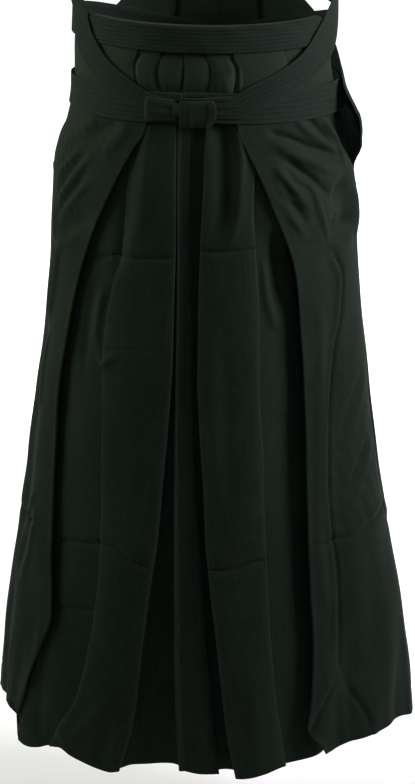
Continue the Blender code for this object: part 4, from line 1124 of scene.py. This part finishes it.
def back_panel(side, heights):
    """From the slit or the side seam round to the back pleat, then under it to the centre."""
    name = side_name(side)
    on_slit = heights > SLIT_FOOT
    lift = np.where(on_slit, slit("lift_" + name, heights), 0.0)
    edge = np.where(on_slit, slit("back_" + name, heights), quarter_length(heights) + SEAM)
    centre = half_length(heights)
    reach = edge_reach(heights)
    fold_edge = centre - fold_line("back", heights)
    under = fold_edge - tuck("back", heights)
    end = centre - (leg_gap(heights) - SEAM) / 2
    path = Path(heights, side * (edge + slit_tuck(heights)), TURNED_IN_PLY)
    path.lift_by(partial(slit_flare, lift), side * edge)
    path.face(side * (edge + reach), step=TURN_STEP)
    path.fold(side * edge, TOP_PLY, turns=4)
    path.face(side * (fold_edge - reach), step=BACK_STEP, crown=SLIGHT_CROWN * crown_at(heights),
              to_fold=True)
    path.fold(side * fold_edge, SIDE_TUCK)
    path.face(side * under, step=HIDDEN_STEP)
    path.sink(FRONT_PLY)
    path.face(side * (fold_edge - UNDER_PLEAT), step=HIDDEN_STEP)
    path.face(side * end, FRONT_PLY + (BACK_LAP_PLY if side > 0 else 0.0), step=BACK_STEP)
    return path


def turned_edge(side, heights):
    """The side edge of the front turned under beside the slit."""
    inner = slit("front_" + side_name(side), heights) - UNDER_LAP
    outer = slit("under", heights)
    path = Path(heights, side * inner, UNDER_PLY)
    path.face(side * outer, step=0.005)
    return path


TURNING_TOP, TURNING_FOOT = -0.002, -0.170
# how each panel is laid, and the size and area of its flat cut
Panel = namedtuple("Panel", "path_at top bottom step phase flat area")
PANELS = {
    "front_left_side_panel": Panel(partial(side_panel, -1), 0.0, HEM, SIDE_STEP, 0.4, (0.235, 0.94), 0.155),
    "front_right_side_panel": Panel(partial(side_panel, 1), 0.0, HEM, SIDE_STEP, 2.1, (0.265, 0.94), 0.170),
    "front_left_centre_panel": Panel(left_centre, 0.0, HEM, FRONT_STEP, 3.7, (0.515, 0.95), 0.298),
    "front_right_centre_panel": Panel(right_centre, 0.0, HEM, FRONT_STEP, 5.2, (0.485, 0.94), 0.298),
    "back_left_panel": Panel(partial(back_panel, -1), 0.0, HEM, BACK_STEP, 1.3, (0.505, 0.94), 0.350),
    "back_right_panel": Panel(partial(back_panel, 1), 0.0, HEM, BACK_STEP, 4.4, (0.505, 0.94), 0.350),
    "side_turning_left": Panel(partial(turned_edge, -1), TURNING_TOP, TURNING_FOOT, TURN_STEP, 0.0,
                               (0.105, 0.185), 0.0112),
    "side_turning_right": Panel(partial(turned_edge, 1), TURNING_TOP, TURNING_FOOT, TURN_STEP, 0.9,
                                (0.105, 0.185), 0.0112),
}


def make_panels(material):
    for name, panel in PANELS.items():
        fine_bands = FINE_BANDS if panel.step <= FRONT_STEP else ()
        path = panel.path_at(rows_between(panel.top, panel.bottom, panel.step, fine_bands))
        points, grain, edge = lay_panel(name, path, panel.phase, CREASES.get(name, ()))
        piece = add_piece(name + "_cloth", grid_mesh(name + "_cloth", points, grain, edge, material))
        thicken(piece, CLOTH)
        finish_piece(piece, "panel_cloth", name)


def finish_piece(piece, slot, *nodes):
    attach(piece, "root")
    if nodes:
        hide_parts(*nodes)


GUSSET_STEP, GUSSET_COLUMNS = 0.012, 34
GUSSET_LENGTH = 0.80      # of its flat cloth, over the crotch
GUSSET_HALF, GUSSET_SPREAD = 0.003, 0.006         # half the gap between its walls, and what the hem adds
GUSSET_SWAY = 0.0035


def make_gusset(material):
    """The wall between the legs: up the left leg, over the crotch and down the right leg."""
    low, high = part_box("crotch_gusset")
    heights = rows_between(CROTCH - 0.008, HEM, GUSSET_STEP)
    share = np.linspace(0.0, 1.0, GUSSET_COLUMNS)
    ply = ring("ply", heights)
    clear = SOLID_CLOTH + 3 * SEAM
    front_at = fold_line("middle", heights) + tuck("middle", heights) + leg_gap(heights) / 2
    front = place(front_at, DEEPEST_PLY * ply + clear, heights)
    back = place(half_length(heights), FRONT_PLY * ply + clear, heights)
    drop = (heights[0] - heights) / (heights[0] - heights[-1])
    half = GUSSET_HALF + drop * GUSSET_SPREAD
    line = front[:, None] + share[None, :, None] * (back - front)[:, None]
    sway = GUSSET_SWAY * drop[:, None] * np.sin(2 * math.pi * share * 2.2 + 1.0) * np.sin(math.pi * share)
    left, right = line.copy(), line.copy()
    left[..., 0] += sway - half[:, None]
    right[..., 0] += sway * 0.8 + half[:, None]
    ridge = line[:1].copy()
    ridge[..., 2] = CROTCH
    points = np.concatenate([left[::-1], ridge, right], axis=0)
    around = np.linspace(-GUSSET_LENGTH / 2, GUSSET_LENGTH / 2, len(points))
    grain = np.stack([np.broadcast_to(share * float(high.y - low.y), points.shape[:2]),
                      np.broadcast_to(around[:, None], points.shape[:2])], axis=2)
    piece = add_piece("crotch_gusset_cloth", grid_mesh("crotch_gusset_cloth", points, grain, 0.0, material))
    thicken(piece, CLOTH)
    finish_piece(piece, "panel_cloth", "crotch_gusset")


# ---------------------------------------------------------------- straps
def strap_section(width, groove, bow):
    """Loop round a folded strap: grooved outer face, rounded edge, plain inner face, rounded edge."""
    half = width / 2 - TIE_WALL / 2
    face = []
    for spot in [-half] + [width * row + offset for row in SIX_ROWS for offset in TIE_SPREAD] + [half]:
        dip = groove * sum(np.exp(-((spot - width * row) / TIE_GROOVE) ** 2) for row in SIX_ROWS)
        puff = bow * (1 - (spot / half) ** 2)
        face.append((spot, TIE_WALL / 2 + puff - dip))
    edge = []
    for index in range(1, 6):
        angle = math.pi * index / 6
        edge.append((half + TIE_WALL / 2 * math.sin(angle), TIE_WALL / 2 * math.cos(angle)))
    inside = [(half * share, -TIE_WALL / 2) for share in np.linspace(1.0, -1.0, 7)]
    far_edge = [(-spot, -out) for spot, out in edge]
    return np.array(face + edge + inside + far_edge).T


def follow(route):
    """Even steps along a route."""
    table = np.array(route)
    count = int(math.ceil((table[-1, 0] - table[0, 0]) / TIE_STEP))
    turns = np.linspace(table[0, 0], table[-1, 0], count + 1)
    return turns, *(ease(turns, table[:, 0], table[:, column]) for column in (1, 2, 3))


def strap_place(route_steps, side, across, out):
    """Points of a strap at offsets across its own direction and outwards from its middle."""
    turns, height, width, outwards = route_steps
    run = np.gradient(turns) * quarter_length(height)
    rise = np.gradient(height)
    size = np.hypot(run, rise)
    level = height[:, None] + across * (run / size)[:, None]
    turned = np.broadcast_to(turns[:, None], level.shape)
    base = turn(turned.ravel(), level.ravel()).reshape(level.shape)
    distance = base - across * (rise / size)[:, None]
    return place(side * distance, -(outwards[:, None] + out), level)


def near_knot(share):
    """How far a back tie is gathered along its length: only at its start, at the knot."""
    return smooth_step((0.22 - share) / 0.2)


def far_knot(share):
    """The same for a front tie, which ends at the knot."""
    return smooth_step((share - 0.93) / 0.07)


def under_crossing(route):
    """The route of the tie that lies under the other one where they cross inside the back."""
    return [row._replace(outwards=row.outwards - (CROSSING_OFFSET if row.outwards < INSIDE_BACK else 0.0))
            for row in route]


Tie = namedtuple("Tie", "name route side groove bow gathers")
TIES = (
    Tie("back_tie_right", BACK_TIE_RIGHT, 1, 0.00022, 0.0006, near_knot),
    Tie("back_tie_left", BACK_TIE_LEFT, -1, 0.00022, 0.0006, near_knot),
    Tie("front_tie_right", FRONT_TIE_RIGHT, 1, 0.00038, 0.0002, far_knot),
    Tie("front_tie_left", under_crossing(FRONT_TIE_LEFT), -1, 0.00038, 0.0002, far_knot),
)
GATHER, GATHER_PITCH = 0.0011, 0.0042     # depth and pitch of the gathers at the knot


def make_tie(tie, material):
    """A flat tie of folded cloth, and the lines its stitches follow."""
    steps = follow(tie.route)
    widths = steps[2]
    sections = [strap_section(width, tie.groove, tie.bow) for width in widths]
    across = np.array([section[0] for section in sections])
    out = np.array([section[1] for section in sections])
    share = np.linspace(0.0, 1.0, len(widths))
    squeeze = tie.gathers(share)[:, None]
    out = out + squeeze * GATHER * np.sin(across / GATHER_PITCH * math.pi + 4.0 * share[:, None])
    points = strap_place(steps, tie.side, across, out)
    along = lengths_along(points[:, 0])
    steps_across = np.abs(np.diff(across[0], prepend=across[0, 0]))
    steps_out = np.abs(np.diff(out[0], prepend=out[0, 0]))
    loop = np.cumsum(steps_across + steps_out)
    grain = np.stack([np.broadcast_to(loop, across.shape),
                      np.broadcast_to(along[:, None], across.shape)], axis=2)
    # the tie's folded edges are painted lighter: rubbed wear and a painted highlight
    edge = (np.abs(across) > (widths / 2 - TIE_WALL)[:, None]).astype(float) * 0.8
    mesh = grid_mesh(tie.name + "_cloth", points, grain, edge, material, closed=True)
    cap_ends(mesh, *points.shape[:2])
    piece = add_piece(tie.name + "_cloth", mesh)
    finish_piece(piece, "band_cloth", tie.name)
    rows = widths[:, None] * np.array(SIX_ROWS)[None, :]
    thread_out = TIE_WALL / 2 + tie.bow * (1 - (2 * np.array(SIX_ROWS)) ** 2) - tie.groove * 0.55
    lines = strap_place(steps, tie.side, rows, np.broadcast_to(thread_out, rows.shape))
    return [lines[:, column] for column in range(lines.shape[1])]


def make_ties(material):
    lines = []
    for tie in TIES:
        lines += make_tie(tie, material)
    return lines


# ---------------------------------------------------------------- the front band
BAND_DIP = 0.00042        # depth of its stitch grooves
BAND_EDGE = 0.0030        # radius of its rounded top
BAND_COLUMNS = 128


def band_section(outer, inner):
    """Depth and height of each point from the foot of the outer face, over the top, to the inner foot."""
    section = []
    for level in [BAND_FOOT] + [row + offset for row in BAND_ROWS for offset in BAND_SPREAD]:
        dip = sum(math.exp(-((level - row) / BAND_GROOVE) ** 2) for row in BAND_ROWS)
        section.append((outer + BAND_DIP * dip, level))
    angles = [math.pi / 2 * index / 5 for index in range(0, 6)]
    turned = [(BAND_EDGE * (1 - math.cos(angle)), BAND_EDGE * (1 - math.sin(angle))) for angle in angles]
    section += [(outer + near, BAND_TOP - far) for near, far in turned]
    section += [(inner - far, BAND_TOP - near) for near, far in turned]
    for level in np.linspace(BAND_TOP - 2 * BAND_EDGE, BAND_FOOT, 7):
        section.append((inner, level))
    return np.array(section)


def make_front_band(material):
    """The band folded over the pleat tops: stitched outer face, rounded top edge and inner face."""
    outer = -(SOLID_CLOTH / 2 + LAID + BAND_WALL / 2)
    inner = DEEPEST_PLY * float(ring("ply", BAND_FOOT)) + SOLID_CLOTH / 2 + 2 * LAID + BAND_WALL / 2
    section = band_section(outer, inner)
    turns = np.linspace(BAND_LEFT, BAND_RIGHT, BAND_COLUMNS)
    heights = np.broadcast_to(section[:, 1], (len(turns), len(section)))
    distance = turns[:, None] * quarter_length(section[:, 1])[None, :]
    wander = 0.0004 * np.sin(2 * math.pi * distance / 0.057) * np.sin(2 * math.pi * heights / 0.03 + 1.0)
    outside = (section[:, 0] < 0)[None, :]
    points = place(distance, section[None, :, 0] + np.where(outside, wander, 0.0), heights)
    loop = np.concatenate([[0.0], np.cumsum(np.hypot(*np.diff(section, axis=0).T))])
    grain = np.stack([np.broadcast_to(loop, heights.shape), distance], axis=2)
    # the rounded top edge is painted lighter: rubbed wear and a painted highlight
    wear_and_highlight = 0.3 * np.exp(-((section[:, 1] - BAND_TOP) / 0.0012) ** 2) * (section[:, 0] < 0.002)
    wear_and_highlight = np.broadcast_to(wear_and_highlight, heights.shape)
    piece = add_piece("front_waistband_cloth",
                      grid_mesh("front_waistband_cloth", points, grain, wear_and_highlight, material))
    thicken(piece, BAND_WALL)
    finish_piece(piece, "band_cloth", "front_waistband")
    thread_depth = np.full(len(turns), outer - BAND_WALL / 2 + THREAD_SUNK)
    return [place(turns * quarter_length(row)[0], thread_depth, np.full(len(turns), row))
            for row in BAND_ROWS]


# ---------------------------------------------------------------- the knot
ON_TIES = ON_BAND + STRAP / 2 + LAID


# the wrap's outline from over the crossing to behind it: (height, how far out)
WRAP_PROFILE = ((-0.0836, 0.0004), (-0.0800, 0.0010), (-0.0780, 0.0026), (-0.0786, 0.0044), (-0.0812, 0.0058),
                (-0.0866, 0.0066), (-0.0928, 0.0068), (-0.0988, 0.0064), (-0.1042, 0.0054), (-0.1070, 0.0036),
                (-0.1074, 0.0018), (-0.1056, 0.0006), (-0.1028, 0.0002))
# its free edge, which stands out: (height, distance round the ring)
WRAP_FREE_EDGE = ((-0.0770, 0.0315), (-0.0810, 0.0345), (-0.0860, 0.0362), (-0.0930, 0.0362),
                  (-0.0990, 0.0342), (-0.1040, 0.0318), (-0.1080, 0.0300))
WRAP_START, WRAP_CENTRE = -0.0035, -0.0927        # distance round the ring, and height
WRAP_ROWS, WRAP_COLUMNS = 46, 40

GATHER_ROWS, GATHER_COLUMNS = 40, 34
# a bunch of the tie: its reach round the ring and in height, how much it narrows, its crown and its ribs
# and the size of its flat cloth
Gather = namedtuple("Gather", "start end low high narrow crown ribs flat")
GATHERS = {
    "knot_fold": Gather(-0.0440, -0.0080, -0.1035, -0.0772, 0.10, 0.0034, 2.6, (0.034, 0.038)),
    "knot_tuck": Gather(-0.0105, -0.0015, -0.0985, -0.0812, 0.10, 0.0052, 1.4, (0.020, 0.0115)),
}


def knot_wrap(material):
    """The tie brought up over the crossing and down behind it: a band wrapped round with a free edge."""
    knots = np.linspace(0.0, 1.0, len(WRAP_PROFILE))
    up = np.linspace(0.0, 1.0, WRAP_ROWS)
    level = ease(up, knots, [row[0] for row in WRAP_PROFILE])
    out = ease(up, knots, [row[1] for row in WRAP_PROFILE])
    along = np.linspace(0.0, 1.0, WRAP_COLUMNS)
    spread = 1.0 - 0.04 * np.sin(math.pi * along) + 0.03 * along
    height = WRAP_CENTRE + (level[:, None] - WRAP_CENTRE) * spread[None, :] - 0.0010 * (1 - along[None, :])
    # its free edge stands out, and two hollows and a ridge cross it
    lip = 0.0024 * smooth_step((along - 0.84) / 0.16) + 0.0050 * (along - 0.45)
    facing = smooth_step(out / 0.004)
    creases = (-0.0008 * np.exp(-((along - 0.22 - 0.10 * up[:, None]) / 0.035) ** 2)
               + 0.0006 * np.exp(-((along - 0.52 + 0.12 * up[:, None]) / 0.060) ** 2)
               - 0.0009 * np.exp(-((along - 0.78) / 0.035) ** 2))
    outwards = ON_TIES + out[:, None] + facing[:, None] * (lip[None, :] + creases)
    end = ease_table(WRAP_FREE_EDGE, level)[:, None]
    distance = WRAP_START + along[None, :] * (end - WRAP_START)
    points = place(distance, -outwards, height)
    loop = np.concatenate([[0.0], np.cumsum(np.hypot(np.diff(level), np.diff(out)))])
    grain = np.stack([distance, np.broadcast_to(loop[:, None], height.shape)], axis=2)
    # the free edge, turned out towards the light, is painted lighter: a painted highlight and rubbed wear
    wear_and_highlight = np.broadcast_to(1.6 * np.exp(-(1 - along) * 0.040 / 0.0012), height.shape)
    piece = add_piece("knot_wrap_cloth", grid_mesh("knot_wrap_cloth", points, grain, wear_and_highlight, material))
    thicken(piece, KNOT_WALL)
    finish_piece(piece, "band_cloth", "knot_wrap")


def knot_gather(name, material):
    """A bunch of the tie pulled into the knot: soft ribs that close up towards one end."""
    start, end, low, high, narrow, crown, ribs, flat = GATHERS[name]
    along = np.linspace(0.0, 1.0, GATHER_COLUMNS)[None, :]
    up = np.linspace(-1.0, 1.0, GATHER_ROWS)[:, None]
    half = (high - low) / 2 * (1 - narrow * smooth_step(along))
    height = (low + high) / 2 + half * (np.sign(up) * np.abs(up) ** 0.9)
    round_top = np.sqrt(np.clip(1 - np.abs(up) ** 2.6, 0.0, 1.0))
    rib = 0.0008 * np.cos(ribs * math.pi * up + 1.4 * along + 0.6) * (0.35 + 0.65 * along)
    cross = 0.0005 * np.sin(2 * math.pi * (along * 1.6 + 0.2 * up))
    ends = smooth_step(along / 0.10) * smooth_step((1 - along) / 0.06)
    body = 0.0006 + crown * (0.75 + 0.25 * np.sin(math.pi * along))
    outwards = ON_TIES - 0.0002 + body * round_top * (0.35 + 0.65 * ends) + (rib + cross) * round_top * ends
    distance = start + along * (end - start) + 0.0012 * np.cos(2.2 * up) * (along - 0.5)
    height, distance = np.broadcast_arrays(height, distance)
    points = place(distance, -outwards, height)
    grain = np.stack([np.broadcast_to(up * half, height.shape), distance], axis=2)
    # the bunch's upper and lower edges are painted lighter: rubbed wear and a painted highlight
    wear_and_highlight = np.broadcast_to(0.5 * np.exp(-(1 - np.abs(up)) / 0.08), height.shape)
    piece = add_piece(name + "_cloth", grid_mesh(name + "_cloth", points, grain, wear_and_highlight, material))
    thicken(piece, KNOT_WALL)
    finish_piece(piece, "band_cloth", name)


# ---------------------------------------------------------------- the back board
def make_board(material):
    """The stiff board covered in cloth, and its two stitch lines."""
    outwards = SOLID_CLOTH / 2 + LAID + BOARD / 2
    up = np.linspace(0.0, 1.0, BOARD_ROWS)[:, None]
    height = BOARD_FOOT + up * (BOARD_HEAD - BOARD_FOOT)
    height, share = np.broadcast_arrays(height, np.linspace(-1.0, 1.0, BOARD_COLUMNS)[None, :])
    half = BOARD_HALF_FOOT + up * (BOARD_HALF_HEAD - BOARD_HALF_FOOT)
    distance = half_length(height[:, 0])[:, None] + half * share
    border = np.minimum((1 - np.abs(share)) * half, (BOARD_HEAD - height))
    groove = 0.00045 * np.exp(-((border - BOARD_INSET) / 0.0014) ** 2)
    slump = 0.0005 * np.sin(2 * math.pi * share * 1.3 + 1.0) * np.sin(math.pi * up)
    points = place(distance, -(outwards - groove + slump), height)
    grain = np.stack([share * half, height], axis=2)
    # the board's borders are painted lighter: rubbed wear and a painted highlight
    wear_and_highlight = np.exp(-border / 0.0016)
    piece = add_piece("back_board_cloth", grid_mesh("back_board_cloth", points, grain, wear_and_highlight, material))
    thicken(piece, BOARD - SEAM)
    rounded = piece.modifiers.new("rounded", "BEVEL")
    rounded.width = 0.0012
    rounded.segments = 3
    rounded.limit_method = "ANGLE"
    finish_piece(piece, "board_cloth", "back_board")
    return [board_line(inset, outwards + BOARD / 2 - THREAD_SUNK)
            for inset in (BOARD_INSET, BOARD_INSET + BOARD_INSET_STEP)]


def board_line(inset, outwards):
    """A stitch line up one slanted side of the board, across its head and down the other."""
    head = BOARD_HEAD - inset
    slope = (BOARD_HALF_HEAD - BOARD_HALF_FOOT) / (BOARD_HEAD - BOARD_FOOT)
    rise = np.linspace(BOARD_LINE_FOOT, head, 12)
    half = BOARD_HALF_FOOT + slope * (rise - BOARD_FOOT) - inset
    side_up = list(zip(-half, rise))
    across = [(spot, head) for spot in np.linspace(-half[-1], half[-1], 40)[1:-1]]
    side_down = list(zip(half, rise))[::-1]
    route = np.array(side_up + across + side_down)
    return place(half_length(route[:, 1]) + route[:, 0], -outwards, route[:, 1])


def back_band_half(levels):
    """Half the back band's length at some heights: it ends where the back ties begin."""
    centre = half_length(levels)
    return centre - turn(np.full(len(levels), BACK_TIE_RIGHT[-1].turns), levels)


def make_back_band(material):
    """The stitched band along the foot of the board, and its stitch lines."""
    levels = [row + offset for row in BACK_ROWS for offset in BACK_SPREAD]
    levels = np.array([BACK_BAND_LOW] + levels + [BACK_BAND_HIGH])
    half = back_band_half(levels) - 2 * SEAM
    dip = sum(np.exp(-((levels - row) / BAND_GROOVE) ** 2) for row in BACK_ROWS)
    share = np.linspace(-1.0, 1.0, BACK_BAND_COLUMNS)
    distance = half_length(levels)[:, None] + half[:, None] * share[None, :]
    level_grid = np.broadcast_to(levels[:, None], distance.shape)
    points = place(distance, -(ON_BOARD - 0.0004 * dip)[:, None], level_grid)
    grain = np.stack([level_grid, distance], axis=2)
    border = np.minimum(levels - BACK_BAND_LOW, BACK_BAND_HIGH - levels)
    # the band's borders are painted lighter: rubbed wear and a painted highlight
    wear_and_highlight = np.broadcast_to(np.exp(-border / 0.0012)[:, None], distance.shape)
    piece = add_piece("back_waistband_cloth",
                      grid_mesh("back_waistband_cloth", points, grain, wear_and_highlight, material))
    thicken(piece, BACK_BAND_WALL)
    finish_piece(piece, "band_cloth", "back_waistband")
    lines = []
    for row in BACK_ROWS:
        reach = float(back_band_half(np.array([row]))[0])
        spots = half_length(row)[0] + reach * np.linspace(-0.98, 0.98, BACK_BAND_COLUMNS)
        lines.append(place(spots, -(ON_BOARD + 0.0005), np.full(BACK_BAND_COLUMNS, row)))
    return lines


# ---------------------------------------------------------------- stitches
def stitch_tree(material):
    """Geometry nodes: stitches of a given length and thickness, evenly pitched along the edges of a mesh."""
    tree = bpy.data.node_groups.new("stitch_rows", "GeometryNodeTree")
    face = tree.interface
    face.new_socket("Geometry", in_out="INPUT", socket_type="NodeSocketGeometry")
    sizes = {}
    for label, value in STITCH_SIZES:
        socket = face.new_socket(label, in_out="INPUT", socket_type="NodeSocketFloat")
        socket.default_value = value
        sizes[label] = socket.identifier
    face.new_socket("Geometry", in_out="OUTPUT", socket_type="NodeSocketGeometry")
    enter = tree.nodes.new("NodeGroupInput")
    leave = tree.nodes.new("NodeGroupOutput")
    curve = add_node(tree, "GeometryNodeMeshToCurve", {"Mesh": enter.outputs["Geometry"]})
    spaced = add_node(tree, "GeometryNodeResampleCurve", {"Curve": curve.outputs["Curve"],
                                                          "Length": enter.outputs["Pitch"]}, mode="LENGTH")
    tangent = add_node(tree, "GeometryNodeInputTangent")
    aim = add_node(tree, "FunctionNodeAlignRotationToVector", {"Vector": tangent.outputs["Tangent"]},
                   axis="Z")
    bead = add_node(tree, "GeometryNodeMeshUVSphere", {"Segments": 5, "Rings": 4, "Radius": 1.0})
    radius = enter.outputs["Radius"]
    slim = add_node(tree, "ShaderNodeCombineXYZ", {"X": radius, "Y": radius})
    half = add_node(tree, "ShaderNodeMath", {0: enter.outputs["Length"], 1: 0.5}, operation="MULTIPLY")
    tree.links.new(half.outputs[0], slim.inputs["Z"])
    shaped = add_node(tree, "GeometryNodeTransform", {"Geometry": bead.outputs["Mesh"],
                                                      "Scale": slim.outputs["Vector"]})
    put = add_node(tree, "GeometryNodeInstanceOnPoints", {"Points": spaced.outputs["Curve"],
                                                          "Instance": shaped.outputs["Geometry"],
                                                          "Rotation": aim.outputs["Rotation"]})
    real = add_node(tree, "GeometryNodeRealizeInstances", {"Geometry": put.outputs["Instances"]})
    dressed = add_node(tree, "GeometryNodeSetMaterial", {"Geometry": real.outputs["Geometry"],
                                                         "Material": material})
    tree.links.new(dressed.outputs["Geometry"], leave.inputs["Geometry"])
    return tree, sizes


def make_stitches(name, lines, tree, sizes, slot):
    """One plain mesh of all the stitches along some lines."""
    guide = bpy.data.meshes.new(name + "_guide")
    points, edges = [], []
    for line in lines:
        start = len(points)
        points += line.tolist()
        edges += [(start + index, start + index + 1) for index in range(len(line) - 1)]
    guide.from_pydata(points, edges, [])
    carrier = add_piece(name + "_guide", guide)
    nodes = carrier.modifiers.new("stitches", "NODES")
    nodes.node_group = tree
    for label, value in STITCH_SIZES:
        nodes[sizes[label]] = value
    depsgraph = bpy.context.evaluated_depsgraph_get()
    mesh = bpy.data.meshes.new_from_object(carrier.evaluated_get(depsgraph))
    mesh.name = name
    mesh.shade_smooth()
    bpy.data.objects.remove(carrier)
    piece = add_piece(name, mesh)
    finish_piece(piece, slot)


# ---------------------------------------------------------------- stage
CAMERA_AZIMUTH = math.radians(10.0)
CAMERA_TILT = math.radians(20.25)
CAMERA_DISTANCE = 3.03
CAMERA_HEIGHT = 0.64
FRAME_HEIGHT_PX = 784
FOCAL_PX = 2628.0
SHIFT_PX = 3.5
SENSOR = 36.0
FLOOR = -1.110
FLOOR_REACH = 30.0
FLOOR_COLOUR = (0.94, 0.94, 0.93, 1.0)
WORLD_COLOUR, WORLD_STRENGTH = (0.95, 0.97, 0.98, 1.0), 0.10


def make_camera():
    """Standing a little to the right of the garment and above its waist, looking down at it."""
    data = bpy.data.cameras.new("camera")
    data.sensor_width = SENSOR
    data.lens = FOCAL_PX / FRAME_HEIGHT_PX * SENSOR
    data.shift_x = SHIFT_PX / FRAME_HEIGHT_PX
    camera = bpy.data.objects.new("camera", data)
    bpy.context.scene.collection.objects.link(camera)
    camera.location = (math.sin(CAMERA_AZIMUTH) * CAMERA_DISTANCE,
                       -math.cos(CAMERA_AZIMUTH) * CAMERA_DISTANCE, CAMERA_HEIGHT)
    camera.rotation_euler = (math.pi / 2 - CAMERA_TILT, 0.0, CAMERA_AZIMUTH)
    bpy.context.scene.camera = camera


# square lamps: size in metres, power in watts, spread in degrees
Lamp = namedtuple("Lamp", "name place aim size power spread colour")
LAMPS = (
    Lamp("key", (1.40, -0.18, 0.42), (0.0, 0.0, 0.04), 0.7, 18.6, 125.0, (1.0, 0.90, 1.05)),
    Lamp("left", (-1.40, -0.22, 0.42), (0.0, 0.0, 0.16), 0.9, 12.4, 125.0, (0.97, 1.0, 0.87)),
    Lamp("front", (0.30, -1.50, 1.10), (0.0, 0.0, 0.0), 0.8, 2.7, 125.0, (1.0, 1.0, 1.0)),
    Lamp("back", (0.0, 3.4, 2.6), (0.0, 6.2, -1.0), 3.0, 240.0, 180.0, (1.0, 1.0, 1.0)),
    Lamp("floor", (0.0, 1.3, 1.2), (0.0, 3.0, -1.1), 1.4, 60.0, 160.0, (1.0, 1.0, 1.0)),
)


def make_lights():
    """The lamps, and a dim pale world."""
    for lamp in LAMPS:
        data = bpy.data.lights.new(lamp.name, "AREA")
        data.shape = "SQUARE"
        data.size = lamp.size
        data.spread = math.radians(lamp.spread)
        data.energy = lamp.power
        data.color = lamp.colour
        light = bpy.data.objects.new(lamp.name, data)
        light.location = lamp.place
        light.rotation_euler = (Vector(lamp.aim) - Vector(lamp.place)).to_track_quat("-Z", "Y").to_euler()
        bpy.context.scene.collection.objects.link(light)
    world = bpy.data.worlds.new("studio")
    world.use_nodes = True
    background = world.node_tree.nodes["Background"]
    background.inputs["Color"].default_value = WORLD_COLOUR
    background.inputs["Strength"].default_value = WORLD_STRENGTH
    bpy.context.scene.world = world
    bpy.context.scene.view_settings.view_transform = "Standard"


def make_floor():
    """A plain pale floor, level and reaching far beyond the garment."""
    material = bpy.data.materials.new("pale_floor")
    material.use_nodes = True
    shader = material.node_tree.nodes["Principled BSDF"]
    shader.inputs["Base Color"].default_value = FLOOR_COLOUR
    shader.inputs["Roughness"].default_value = 0.9
    mesh = bpy.data.meshes.new("floor")
    corners = [(FLOOR_REACH * x, FLOOR_REACH * y, FLOOR) for x, y in ((-1, -1), (1, -1), (1, 1), (-1, 1))]
    mesh.from_pydata(corners, [], [(0, 1, 2, 3)])
    mesh.materials.append(material)
    add_piece("floor", mesh)


# ---------------------------------------------------------------- putting it together
# only the panels get the painted light above the ties
panel_material = make_cloth("dark_twill", PANEL_DARK, PANEL_LIGHT, roughness=0.82, grain_depth=0.00035,
                            painted_light_top=0.42)
band_material = make_cloth("dark_twill_bands", BAND_DARK, BAND_LIGHT, roughness=0.78, grain_depth=0.00030,
                           painted_light_top=0.0)
board_material = make_cloth("dark_twill_board", BAND_DARK, BAND_LIGHT, roughness=0.76, grain_depth=0.00030,
                            painted_light_top=0.0)
thread_material = make_thread("dark_thread", THREAD_COLOUR)

make_camera()
make_lights()
make_floor()
make_panels(panel_material)
make_gusset(panel_material)
tie_lines = make_ties(band_material)
band_lines = make_front_band(band_material)
knot_wrap(band_material)
knot_gather("knot_fold", band_material)
knot_gather("knot_tuck", band_material)
back_lines = make_board(board_material) + make_back_band(band_material)
stitches, stitch_sizes = stitch_tree(thread_material)
make_stitches("tie_stitches", tie_lines, stitches, stitch_sizes, "band_cloth")
make_stitches("front_band_stitches", band_lines, stitches, stitch_sizes, "band_cloth")
make_stitches("back_stitches", back_lines, stitches, stitch_sizes, "board_cloth")
